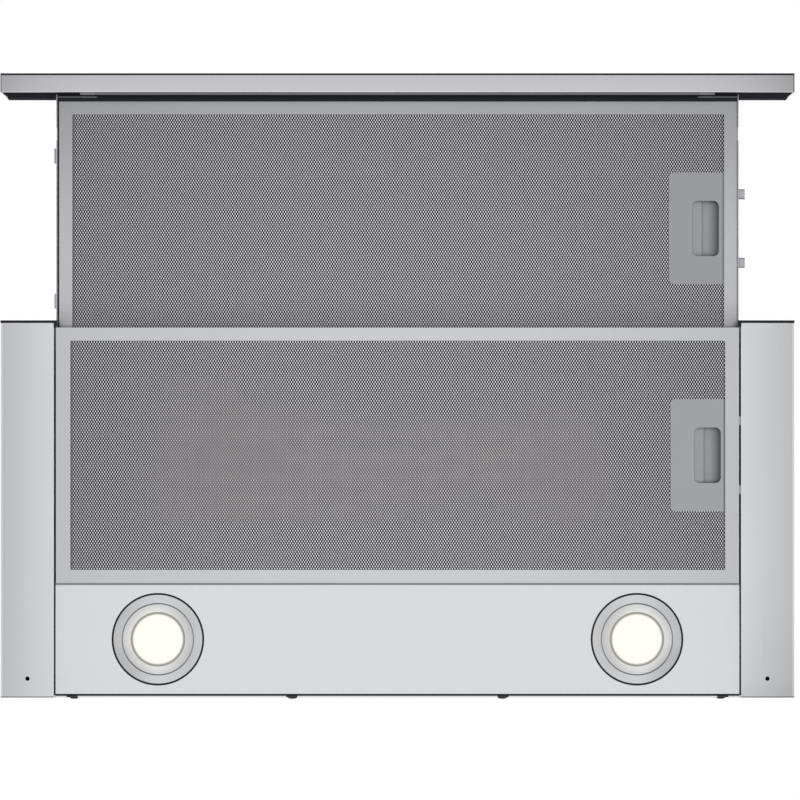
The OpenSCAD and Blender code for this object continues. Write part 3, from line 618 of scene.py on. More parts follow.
@dataclass(frozen=True)
class TurnedRings:
    """Metal that was brushed on a lathe about each lamp's axis, with a painted sheen, painted shade and a
    painted glow.

    Attributes:
        name: The material's name.
        colour: The metal's colour.
        lamp_x: Distance of a lamp's axis from the hood's middle.
        lamp_y: Place of the lamps' axes from the wall.
        glow_r: Radius at which the painted glow of the lamp's light on the metal starts, 0 for none.
        reach: How far that glow reaches outwards.
        glow: Colour of the painted glow where it starts.
        fans: How much brighter the painted sheen is towards the front and the rear than sideways.
        cross: How much brighter the painted sheen is in these four directions than between them.
        corner: How much darker the painted shade makes it outwards and to the rear.
    """

    name: str
    colour: Colour
    lamp_x: float
    lamp_y: float
    glow_r: float = 0.0
    reach: float = 6 * MM
    glow: Colour = (0.0, 0.0, 0.0)
    fans: float = 0.063
    cross: float = 0.036
    corner: float = 0.08

    def build(self) -> bpy.types.Material:
        """Builds the material."""
        graph = Graph.of_material(self.name)
        side, y, radius = around_lamps(graph, self.lamp_x, self.lamp_y)
        line = graph.node("ShaderNodeCombineXYZ", None, {0: radius * 2600.0, 1: side * 12.0, 2: y * 12.0})
        groove = graph.noise(line.outputs[0], 1.0, 2.0)
        turn = (y * y - side * side) / (radius * radius)
        # Painted sheen of the turned metal: a cross of lighter fans about the axis.
        painted_sheen = turn * self.fans + (turn * turn * 2 - 1) * self.cross
        # Painted shade outwards and to the rear.
        corner = ((side + y) / radius).rise(1.05, 1.4) * self.corner
        tone = 1 + (groove - 0.5) * 0.16 + painted_sheen - corner
        # Painted glow: emission that stands for the lamp's light on the metal near the lens.
        glow = 1 - radius.rise(self.glow_r, self.glow_r + self.reach)
        return graph.finish({
            "Base Color": graph.shade(self.colour, tone),
            "Metallic": 1.0,
            "Roughness": 0.30 + (groove - 0.5) * 0.14,
            "Emission Color": graph.shade(self.glow, glow),
            "Emission Strength": 1.0,
            "Normal": graph.relief(groove, 0.01 * MM, 0.6),
        })


@dataclass(frozen=True)
class LitLens:
    """Frosted lens with the lamp lit behind it.

    Attributes:
        name: The material's name.
        lamp_x: Distance of a lamp's axis from the hood's middle.
        lamp_y: Place of the lamps' axes from the wall.
        lens_r: Radius of the part that shines.
        light: Colour of the light in the middle.
        rim: Colour at the rim.
        rim_span: Where the one goes over into the other, counted from the lens's radius.
    """

    name: str
    lamp_x: float
    lamp_y: float
    lens_r: float
    light: Colour = seen(255, 249, 240)
    rim: Colour = seen(140, 139, 131)
    rim_span: Span = (-1.9 * MM, 0.1 * MM)

    def build(self) -> bpy.types.Material:
        """Builds the material."""
        graph = Graph.of_material(self.name)
        radius = around_lamps(graph, self.lamp_x, self.lamp_y)[2]
        frost = graph.noise(graph.place(), 1800.0, 2.0)
        edge = radius.rise(self.lens_r + self.rim_span[0], self.lens_r + self.rim_span[1])
        tone = 0.97 + (frost - 0.5) * 0.03
        return graph.finish({
            "Base Color": (0.05, 0.05, 0.045),
            "Roughness": 0.45,
            "Emission Color": graph.blend(edge, graph.shade(self.light, tone), self.rim),
            "Emission Strength": 1.0,
            "Normal": graph.relief(frost, 0.02 * MM, 0.4),
        })


@dataclass(frozen=True)
class SlideWithGlides:
    """Zinc-plated slide member whose glide strips are white nylon.

    Attributes:
        name: The material's name.
        middle_z: Height of the slide's middle.
        half_h: Half the height of the steel member.
        sheet: Thickness of the steel.
        web_x: Distance from the hood's middle beyond which the member's web lies.
    """

    name: str
    middle_z: float
    half_h: float
    sheet: float
    web_x: float

    def build(self) -> bpy.types.Material:
        """Builds the material."""
        graph = Graph.of_material(self.name)
        x, _, z = graph.axes((0.0, 0.0, self.middle_z))
        height = abs(z)
        outside = height > self.half_h
        inside = (height > self.half_h - 2 * self.sheet) * (height < self.half_h - self.sheet)
        nylon = outside + inside * (abs(x) < self.web_x)
        fine = graph.noise(graph.place(Grain.DEEP.value), 1.0, 2.0)
        steel = graph.shade(seen(196, 198, 201), 1 + (fine - 0.5) * 0.12)
        return graph.finish({
            "Base Color": graph.blend(nylon, steel, seen(232, 231, 226)),
            "Metallic": 1 - nylon,
            "Roughness": 0.32 + nylon * 0.2 + (fine - 0.5) * 0.08,
            "Normal": graph.relief(fine, 0.006 * MM, 0.5),
        })


@dataclass(frozen=True)
class LatchGrey:
    """Grey latch slider, with painted shade in its finger cup, and lighter tongues with painted shade at
    their edges.

    Attributes:
        name: The material's name.
        middle_y: Place of the cup's middle from the wall.
        side_wall: Where the cup's right wall darkens.
        side_dim: Share of the light that is lost there.
        end_wall: Where the cup's ends darken, counted from its middle.
        end_dim: Share of the light that is lost there.
        tongue_x: Distance from the hood's middle at which the tongues start.
        tongue_y: Distance of a tongue's middle from the cup's.
        tongue_edge: Where painted shade darkens a tongue's edges, counted from its middle.
        tongue_tone: How much brighter a tongue is.
    """

    name: str
    middle_y: float
    side_wall: Span = (234 * MM, 244.5 * MM)
    side_dim: float = 0.58
    end_wall: Span = (18 * MM, 21.5 * MM)
    end_dim: float = 0.3
    tongue_x: float = 257.2 * MM
    tongue_y: float = 26 * MM
    tongue_edge: Span = (2.6 * MM, 3.6 * MM)
    tongue_tone: float = 0.28

    def build(self) -> bpy.types.Material:
        """Builds the material."""
        graph = Graph.of_material(self.name)
        x, y, _ = graph.axes((0.0, self.middle_y, 0.0))
        skin = graph.noise(graph.place(), 1200.0, 2.0)
        # Painted shade in the finger cup: darker at its right wall and its ends.
        wall = x.rise(*self.side_wall) * self.side_dim + abs(y).rise(*self.end_wall) * self.end_dim
        tongue = x > self.tongue_x
        # Painted shade along the tongues' edges; the tongues themselves are lighter.
        rim = abs(abs(y) - self.tongue_y).rise(*self.tongue_edge)
        bare = 1 + tongue * (self.tongue_tone - rim)
        tone = (1 - wall * (1 - tongue)) * (1 + (skin - 0.5) * 0.08) * bare
        return graph.finish({
            "Base Color": graph.shade(seen(160, 161, 165), tone),
            "Roughness": 0.45,
            "Specular IOR Level": 0.3,
            "Normal": graph.relief(skin, 0.01 * MM, 0.5),
        })


@dataclass(frozen=True)
class BracketZinc:
    """Corner brackets whose long ridge is bare zinc and whose rest lies in the dark.

    Attributes:
        name: The material's name.
        ridge_y: Distance of the ridge's middle in front of the wall.
        half_ridge: Half the ridge's width.
    """

    name: str
    ridge_y: float
    half_ridge: float

    def build(self) -> bpy.types.Material:
        """Builds the material."""
        graph = Graph.of_material(self.name)
        _, y, _ = graph.axes((0.0, -self.ridge_y, 0.0))
        frost = graph.noise(graph.place(), 700.0, 2.0)
        ridge = abs(y) < self.half_ridge
        zinc = graph.shade(seen(128, 129, 133), 1 + (frost - 0.5) * 0.1)
        return graph.finish({
            "Base Color": graph.blend(ridge, seen(34, 35, 37), zinc),
            "Metallic": ridge * 0.7,
            "Roughness": 0.5,
            "Specular IOR Level": 0.15,
        })


@dataclass(frozen=True)
class ExpandedMetal:
    """Slit and stretched aluminium: bright flat knuckles, and strands darkened between them as painted
    shade.

    Attributes:
        name: The material's name.
        centre: A knuckle's place.
        short_way: Distance of the knuckles across the hood.
        long_way: Distance of the knuckles from front to rear.
        at_bar: Share of the light that is lost behind the front bar.
        at_rear: Share of the light that is lost above the rear filter.
        knuckle: Colour of the knuckles.
        strand: Colour of the strands, dark as painted shade of their twist.
        middle_x: Middle of the frame's opening.
        rim_span: Where painted shadow of the frame's lip darkens the mesh beside the frame, counted from
            there.
        rim_dim: Share of the light that is lost there.
    """

    name: str
    centre: Point
    short_way: float
    long_way: float
    at_bar: float = 0.0
    at_rear: float = 0.0
    knuckle: Colour = seen(253, 252, 255)
    strand: Colour = seen(98, 97, 107)
    middle_x: float = 0.5 * MM
    rim_span: Span = (244.2 * MM, 246.6 * MM)
    rim_dim: float = 0.40

    def build(self) -> bpy.types.Material:
        """Builds the material."""
        graph = Graph.of_material(self.name)
        x, y, _ = graph.axes(self.centre)
        # The strands' dark colour is painted shade of their twisted faces.
        flat = (x.wave(self.short_way) * y.wave(self.long_way)).rise(0.15, 0.5)
        worn = graph.noise(graph.place(), 30.0, 3.0)
        # Painted shadow of the frame's lip beside the opening.
        sides = 1 - abs(x - self.middle_x).rise(*self.rim_span) * self.rim_dim
        tone = (1 + (worn - 0.5) * 0.10) * sides * recess_shade(graph, self.at_bar, self.at_rear)
        return graph.finish({
            "Base Color": graph.blend(flat, self.strand, graph.shade(self.knuckle, tone)),
            "Metallic": 1.0,
            "Roughness": 0.31 - flat * 0.08 + (worn - 0.5) * 0.06,
        })


@dataclass(frozen=True)
class InnerPack:
    """The layers inside a filter: painted shade of its depth from below, and expanded aluminium from above.

    Attributes:
        name: The material's name.
        centre: A knuckle's place, at the height above which the aluminium shows.
        short_way: Distance of the knuckles across the hood.
        long_way: Distance of the knuckles from front to rear.
        dark: Colour of the painted shade in the depth between the strands.
        metal: Colour of the strands.
    """

    name: str
    centre: Point
    short_way: float
    long_way: float
    dark: Colour = seen(46, 45, 53)
    metal: Colour = seen(176, 177, 182)

    def build(self) -> bpy.types.Material:
        """Builds the material."""
        graph = Graph.of_material(self.name)
        x, y, z = graph.axes(self.centre)
        # Below the strands' height the pack is painted dark, as shade of its depth.
        strands = (x.wave(self.short_way) * y.wave(self.long_way)).rise(-0.30, -0.05) * (z > 0.0)
        worn = graph.noise(graph.place(), 30.0, 3.0)
        metal = graph.shade(self.metal, 1 + (worn - 0.5) * 0.20)
        return graph.finish({
            "Base Color": graph.blend(strands, self.dark, metal),
            "Metallic": strands,
            "Roughness": 0.80 - strands * 0.42,
            "Specular IOR Level": 0.0,
        })


@cache
def made(finish: Finish) -> bpy.types.Material:
    """Gives a finish's material, built once."""
    return finish.build()


STEEL = Brushed("brushed steel", seen(204, 205, 208))
STEEL_DEEP = Brushed("brushed steel lengthwise", seen(223, 224, 227), Grain.DEEP, 0.05, 0.14)
PALE_STEEL = Brushed("pale brushed steel", seen(218, 219, 221), Grain.ACROSS, 0.03, 0.10)
WING_STEEL = WingSteel(
    "wing steel", seen(223, 224, 227), Grain.DEEP, 0.05, 0.14, end_x=298.9 * MM, end_tone=0.80)
BAR_STEEL = BarSteel(
    "front bar steel", seen(196, 196, 200), Grain.ACROSS, 0.04, 0.11, end_x=298.2 * MM, end_tone=0.3)
# The lip's dark grey is painted shade behind the front bar; it is lighter beyond 228 mm from the middle.
SHADED_LIP_STEEL = BrushedWithEnds(
    "lip steel in painted shade", seen(121, 121, 125), Grain.ACROSS, 0.05, 0.35, end_x=228 * MM, end_tone=1.25)
# The rear rail's dark grey is painted shade: it lies in the shadow against the wall.
SHADED_ZINC = Moulded("zinc in painted shade", seen(72, 73, 76), 0.45, 900.0, 0.01 * MM, 0.7)
SATIN_ALUMINIUM = Brushed("satin aluminium", seen(216, 217, 221), Grain.ACROSS, 0.04, 0.30)
SHADED_ALUMINIUM = BrushedInShade("satin aluminium in shade", seen(210, 211, 215), Grain.ACROSS, 0.04, 0.30)
GAP_GREY = Moulded("grey gap strip", seen(146, 147, 150), 0.5, 900.0, 0.01 * MM, 0.3, shine=0.2)
SEAL_GREY = Moulded("seal grey", seen(58, 59, 63), 0.80, 900.0, 0.02 * MM, shine=0.0)
MATT_BLACK = Moulded("matt black", seen(44, 45, 48), 0.80, 900.0, 0.02 * MM, shine=0.0)
ZINC = Galvanised("galvanised sheet", seen(186, 189, 193))
FINE_ZINC = Galvanised("zinc plated sheet", seen(196, 198, 202), 420.0)
BLACK_PLASTIC = Moulded("black plastic", seen(38, 39, 41), 0.60, shine=0.12)
BLACK_ENAMEL = Moulded("black enamel", seen(30, 31, 34), 0.40, 900.0, 0.01 * MM, shine=0.2)
# The latch plates carry painted shade along their right edge, beside the frame's opening.
FRONT_LATCH = MouldedWithShadedEdge(
    "front latch grey", seen(158, 159, 163), 0.45, 1200.0, 0.01 * MM, shine=0.3,
    edge_x=245.9 * MM, painted_edge_tone=0.78)
REAR_LATCH = MouldedWithShadedEdge(
    "rear latch grey", seen(164, 165, 169), 0.45, 1200.0, 0.01 * MM, shine=0.3,
    edge_x=245.5 * MM, painted_edge_tone=0.60)
SILVER_PLASTIC = Moulded("silver plastic", seen(178, 180, 184), 0.35, 1800.0, 0.01 * MM, 0.6)
GREEN_BOARD = Moulded("green board", seen(28, 92, 62), 0.35, 700.0, 0.02 * MM)


class Edges(Enum):
    """Which sharp edges of a piece are rounded."""

    ALL = "all that are long enough"
    LONG = "only the long bends and rims"
    UNDERSIDE = "only those near the underside"


def merged_copy(node: str) -> bmesh.types.BMesh:
    """Copies a CAD node's loose triangles and merges them into closed shells."""
    mesh = bmesh.new()
    mesh.from_mesh(frame["nodes"][node].data)
    bmesh.ops.remove_doubles(mesh, verts=mesh.verts, dist=MERGE)
    return mesh


def rounded_copy(node: str, width: float, edges: Edges = Edges.ALL, segments: int = 2) -> bmesh.types.BMesh:
    """Copies a CAD node, merges its triangles into whole faces and rounds its sharp edges.

    Args:
        node: The node to copy.
        width: How far the rounding reaches from an edge.
        edges: Which edges are rounded.
        segments: How many faces make the rounding.

    Returns:
        The new mesh.
    """
    mesh = merged_copy(node)
    bmesh.ops.dissolve_limit(mesh, angle_limit=math.radians(1), verts=mesh.verts, edges=mesh.edges)
    floor_z = min(v.co.z for v in mesh.verts) + 1.2 * MM
    shortest = {Edges.ALL: 1.2 * MM, Edges.LONG: 18 * MM, Edges.UNDERSIDE: 0.3 * MM}[edges]
    picked = [
        e for e in mesh.edges
        if e.is_manifold and e.calc_face_angle() > math.radians(35) and e.calc_length() > shortest
        and (edges is not Edges.UNDERSIDE or all(v.co.z < floor_z for v in e.verts))
    ]
    bmesh.ops.bevel(
        mesh, geom=picked, offset=width, offset_type="OFFSET", affect="EDGES", segments=segments,
        profile=0.5, material=-1, clamp_overlap=True,
    )
    return mesh


def turned(
    profile: list[tuple[float, float]], centres: Iterable[Point], steps: int = 96, closed: bool = True
) -> bmesh.types.BMesh:
    """Turns an outline about upright axes.

    Args:
        profile: Points of the outline as radius and height, in millimetres.
        centres: The points that the axes pass through, at the outline's zero height.
        steps: Faces round the axis.
        closed: Whether the outline's last point joins its first one.

    Returns:
        The mesh of all the turned shapes.
    """
    mesh = bmesh.new()
    for centre in centres:
        at = Vector(centre)
        points = [mesh.verts.new(at + Vector((r * MM, 0, z * MM))) for r, z in profile]
        pairs = list(zip(points, points[1:])) + ([(points[-1], points[0])] if closed else [])
        rim = [mesh.edges.new(pair) for pair in pairs]
        bmesh.ops.spin(
            mesh, geom=points + rim, cent=at, axis=(0, 0, 1), angle=FULL_TURN, steps=steps,
            use_merge=True, use_duplicate=False,
        )
    bmesh.ops.remove_doubles(mesh, verts=mesh.verts, dist=0.001 * MM)
    bmesh.ops.recalc_face_normals(mesh, faces=mesh.faces)
    return mesh


def slab(mesh: bmesh.types.BMesh, low: Point, high: Point) -> list[bmesh.types.BMVert]:
    """Adds a block between two corners to a mesh.

    Args:
        mesh: The mesh that takes it.
        low: Its lowest corner, in metres.
        high: Its highest corner, in metres.

    Returns:
        The block's vertices.
    """
    lo, hi = Vector(low), Vector(high)
    matrix = Matrix.Translation((lo + hi) / 2) @ Matrix.Diagonal((*(hi - lo), 1.0))
    return bmesh.ops.create_cube(mesh, size=1.0, matrix=matrix)["verts"]


def cut(mesh: bmesh.types.BMesh, point: Point, away: Point, clear: bool = False) -> None:
    """Cuts the faces of a mesh along a plane.

    Args:
        mesh: The mesh.
        point: A point of the plane.
        away: The direction that the plane faces.
        clear: Whether what lies on that side is taken away.
    """
    bmesh.ops.bisect_plane(
        mesh, geom=mesh.verts[:] + mesh.edges[:] + mesh.faces[:], dist=0.0001 * MM, plane_co=point,
        plane_no=away, clear_outer=clear)


def new_object(name: str, mesh: bmesh.types.BMesh) -> bpy.types.Object:
    """Puts a mesh, which is used up, into the scene."""
    data = bpy.data.meshes.new(name)
    mesh.to_mesh(data)
    mesh.free()
    piece = bpy.data.objects.new(name, data)
    bpy.context.scene.collection.objects.link(piece)
    return piece


def body_of_node(node: str) -> str:
    """Gives the name of the body that a CAD node rides on."""
    bodies = frame["record"]["behaviour"]["bodies"]
    return next(name for name, nodes in bodies.items() if node in nodes)


def add_piece(
    name: str,
    mesh: bmesh.types.BMesh,
    finish: Finish,
    slot: str,
    replaced: Iterable[str] = (),
    round_shading: bool = True,
) -> None:
    """Puts a finished mesh into the scene, on the body of the node that it belongs to.

    Args:
        name: The piece's name.
        mesh: The mesh, which is used up.
        finish: Its finish.
        slot: The node whose body it rides on.
        replaced: The nodes that it stands for.
        round_shading: Whether its bends are shaded round, with the flat faces kept flat.
    """
    for face in mesh.faces:
        face.smooth = round_shading
    piece = new_object(name, mesh)
    piece.data.materials.append(made(finish))
    if round_shading:
        piece.data.set_sharp_from_angle(angle=math.radians(50))
        weighted = piece.modifiers.new("flat faces stay flat", "WEIGHTED_NORMAL")
        weighted.weight = 100
        weighted.keep_sharp = True
    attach(piece, body_of_node(slot))
    if replaced:
        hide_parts(*replaced)
    LOG.info("%s: %d faces", name, len(piece.data.polygons))


def soften(
    node: str, finish: Finish, width: float = 0.25, edges: Edges = Edges.ALL, segments: int = 2
) -> None:
    """Replaces a node by its copy with rounded edges.

    Args:
        node: The node.
        finish: The finish of the copy.
        width: Width of the rounding in millimetres.
        edges: Which edges are rounded.
        segments: How many faces make the rounding.
    """
    add_piece(f"{node}_shell", rounded_copy(node, width * MM, edges, segments), finish, node, [node])


def dress(node: str, finish: Finish) -> None:
    """Gives a CAD node that stays its finish."""
    for slot in frame["nodes"][node].material_slots:
        slot.material = made(finish)
    LOG.info("%s: dressed in %s", node, finish.name)


def islands(node: str) -> list[list[Vector]]:
    """Gives the points of each separate solid in a node."""
    mesh = merged_copy(node)
    left = set(mesh.verts)
    found = []
    while left:
        todo = [left.pop()]
        island = []
        while todo:
            vertex = todo.pop()
            island.append(vertex.co.copy())
            near = {e.other_vert(vertex) for e in vertex.link_edges} & left
            left -= near
            todo.extend(near)
        found.append(island)
    mesh.free()
    return found


@dataclass
class ScrewSet:
    """The screws of one node: pan heads with a cross recess.

    Attributes:
        node: The node that they stand for.
        finish: Their finish.
        head_r: Radius of the head.
        head_h: Height of the head.
        shank_r: Radius of the shank.
    """

    node: str
    finish: Finish
    head_r: float = 4.0
    head_h: float = 2.2
    shank_r: float = 1.6

    def _pattern(self, length: float) -> bpy.types.Mesh:
        """Builds one screw on the Z axis, its seat at zero height, with its recess cut.

        Args:
            length: Length of the shank in millimetres.

        Returns:
            The screw's mesh.
        """
        r, h = self.head_r, self.head_h
        dome = [(0, h), (r * 0.45, h * 0.98), (r * 0.72, h * 0.86), (r * 0.9, h * 0.6), (r, h * 0.22),
                (r * 0.97, 0), (self.shank_r, 0), (self.shank_r, 1 - length),
                (self.shank_r * 0.6, -length), (0, -length)]
        screw = turned(dome, [(0, 0, 0)], 32, closed=False)
        cross = bmesh.new()
        for arm in ((r * 0.5, r * 0.11), (r * 0.11, r * 0.5)):
            corner = Vector((arm[0], arm[1], h * 1.2)) * MM
            slab(cross, (-corner.x, -corner.y, h * 0.45 * MM), corner)
        parts = [new_object("screw pattern", screw), new_object("cross cutter", cross)]
        boolean = parts[0].modifiers.new("cut", "BOOLEAN")
        boolean.object, boolean.operation, boolean.solver = parts[1], "DIFFERENCE", "EXACT"
        boolean.use_self = True
        shown = parts[0].evaluated_get(bpy.context.evaluated_depsgraph_get())
        result = bpy.data.meshes.new_from_object(shown)
        for part in parts:
            bpy.data.objects.remove(part)
        return result

    def build(self) -> None:
        """Builds all the screws where the node has them."""
        whole = bmesh.new()
        patterns: dict[int, bpy.types.Mesh] = {}
        for island in islands(self.node):
            low = Vector([min(p[i] for p in island) for i in range(3)])
            high = Vector([max(p[i] for p in island) for i in range(3)])
            size = high - low
            axis = max(range(3), key=lambda i: abs(size[i] - self.head_r * 2 * MM))
            middle = (low + high) / 2
            rim = [p[axis] for p in island if self._across(p, middle, axis) > self.shank_r * 1.5 * MM]
            sign = 1.0 if sum(rim) / len(rim) > middle[axis] else -1.0
            length = round(size[axis] / MM - self.head_h, 1)
            key = int(length * 10)
            if key not in patterns:
                patterns[key] = self._pattern(length)
            seat = middle.copy()
            seat[axis] = (high[axis] if sign > 0 else low[axis]) - sign * self.head_h * MM
            way = Vector([sign if i == axis else 0.0 for i in range(3)])
            turn = way.to_track_quat("Z", "Y").to_matrix().to_4x4()
            start = len(whole.verts)
            whole.from_mesh(patterns[key])
            whole.verts.ensure_lookup_table()
            bmesh.ops.transform(whole, matrix=Matrix.Translation(seat) @ turn, verts=whole.verts[start:])
        add_piece(f"{self.node}_set", whole, self.finish, self.node, [self.node])

    @staticmethod
    def _across(point: Vector, middle: Vector, axis: int) -> float:
        """Gives a point's distance from the screw's axis."""
        away = point - middle
        away[axis] = 0.0
        return away.length


@dataclass
class Casing:
    """The upper casing with its top, front and brackets.

    Attributes:
        rounding: Width of its rounded bends, in millimetres.
    """

    rounding: float = 0.3

    def build(self) -> None:
        """Builds and dresses the casing."""
        for node in ("casing_wrap", "top_plate", "front_panel", "mounting_brackets"):
            soften(node, ZINC, self.rounding, Edges.LONG)
        for node in ("front_tie", "outlet_box", "rail_carriers"):
            dress(node, ZINC)
        ScrewSet("casing_screws", FINE_ZINC).build()


@dataclass
class Outlet:
    """The spigot on top with its two flaps, and the cable gland.

    Attributes:
        rounding: Width of the rounded edges, in millimetres.
    """

    rounding: float = 0.25

    def build(self) -> None:
        """Builds and dresses the outlet."""
        for node in ("outlet_spigot", "flap_front", "flap_rear"):
            soften(node, BLACK_PLASTIC, self.rounding)
        soften("cable_gland", BLACK_PLASTIC, 0.3)
        dress("flap_pin", STEEL)


@dataclass
class Fan:
    """The fan with its motor, the lamps' cans and the mains box.

    Attributes:
        rounding: Width of the mains box's rounded edges, in millimetres.
    """

    rounding: float = 0.3

    def build(self) -> None:
        """Builds and dresses them."""
        for node in ("fan_scroll", "fan_side_plates", "fan_impeller"):
            dress(node, BLACK_PLASTIC)
        for node in ("motor", "motor_bracket", "lamp_cans"):
            dress(node, FINE_ZINC)
        dress("fan_shaft", STEEL)
        soften("mains_box", BLACK_PLASTIC, self.rounding, Edges.LONG)


@dataclass
class Base:
    """The two wings, their caps, the rear rail and the thin strips round the lamp panel.

    Attributes:
        bend: Width of the wings' rounded bends, in millimetres.
        play: Room between a strip and its neighbours.
        inset: How far behind the panel's face the inner strips lie.
        front_strip: Width of the grey strip before the panel.
        rear_shade_strip: Width of the black strip of painted shade at the panel's rear.
        rear_over: How far that strip reaches past the panel.
        screw_room: Half the room that the foot strips leave for a screw.
        corner_x: Distance of the caps' dark corners of painted shade from the hood's middle.
        corner: Half the width, the depth and the height of such a corner.
        lean_height: How far below their top the caps' fronts start to lean back.
        lean: How far they lean back.
    """

    bend: float = 0.8
    play: float = 0.05 * MM
    inset: float = 1.0 * MM
    front_strip: float = 1.1 * MM
    rear_shade_strip: float = 1.5 * MM
    rear_over: float = 0.1 * MM
    screw_room: float = 4.2 * MM
    corner_x: float = 257.65 * MM
    corner: Point = (1.25 * MM, 5.0 * MM, 0.8 * MM)
    lean_height: float = 12 * MM
    lean: float = 0.7 * MM

    def build(self) -> None:
        """Builds and dresses the base."""
        for side in ("left", "right"):
            soften(f"wing_{side}", WING_STEEL, self.bend, Edges.LONG, 3)
        self._caps()
        # The rear rail is dressed in painted shade.
        soften("rear_rail", SHADED_ZINC, 0.2, Edges.LONG)
        # The rear screws are black as painted shade: they lie in shadow at the rear.
        ScrewSet("rear_screws", BLACK_ENAMEL).build()
        self._panel_strips()

    def _caps(self) -> None:
        """Rounds the caps, leans their front's top back for the bar's seals, and adds corners of painted
        shade.
        """
        mesh = rounded_copy("wing_caps", 0.2 * MM, Edges.LONG)
        low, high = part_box("wing_caps")
        cut(mesh, (0, 0, high.z - self.lean_height), (0, 0, 1))
        for vertex in mesh.verts:
            if vertex.co.z > high.z - self.lean_height / 2 and vertex.co.y < low.y + self.lean:
                vertex.co.y += self.lean
        add_piece("wing_caps_shell", mesh, BLACK_PLASTIC, "wing_caps", ["wing_caps"])
        half, depth, height = self.corner
        corners = [
            ((middle - half, low.y, low.z), (middle + half, low.y + depth, low.z + height))
            for middle in (-self.corner_x, self.corner_x)
        ]
        # Matt black blocks of painted shade in the caps' inner corners.
        self._strips("wing_cap_corner_shade", corners, MATT_BLACK, "wing_caps")

    def _panel_strips(self) -> None:
        """Adds the strip before the lamp panel, a strip of painted shade behind it, and those between the
        rear screws.
        """
        low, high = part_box("lamp_panel")
        inset_z = low.z + self.inset
        front_y, rear_y = low.y - self.play, high.y + self.rear_over
        front = (low.x, front_y - self.front_strip, inset_z), (high.x, front_y, inset_z + 0.5 * MM)
        self._strips("panel_front_strip", [front], GAP_GREY, "lamp_panel")
        # A black strip of painted shade along the panel's rear.
        rear = (low.x, rear_y - self.rear_shade_strip, low.z - FILM), (high.x, rear_y, low.z - TOUCH)
        self._strips("panel_rear_shade_strip", [rear], MATT_BLACK, "lamp_panel")
        screws = sorted(sum(p.x for p in island) / len(island) for island in islands("rear_screws"))
        ends = [low.x] + [x + side * self.screw_room for x in screws for side in (-1, 1)] + [high.x]
        foot = [
            ((start, rear_y + self.play, inset_z), (end, -self.play, inset_z + 1.0 * MM))
            for start, end in zip(ends[::2], ends[1::2])
        ]
        self._strips("panel_foot_strips", foot, PALE_STEEL, "lamp_panel")

    @staticmethod
    def _strips(name: str, boxes: list[tuple[Point, Point]], finish: Finish, slot: str) -> None:
        """Adds thin strips, each between two corners, to the part of a node."""
        mesh = bmesh.new()
        for low, high in boxes:
            slab(mesh, low, high)
        add_piece(name, mesh, finish, slot, round_shading=False)


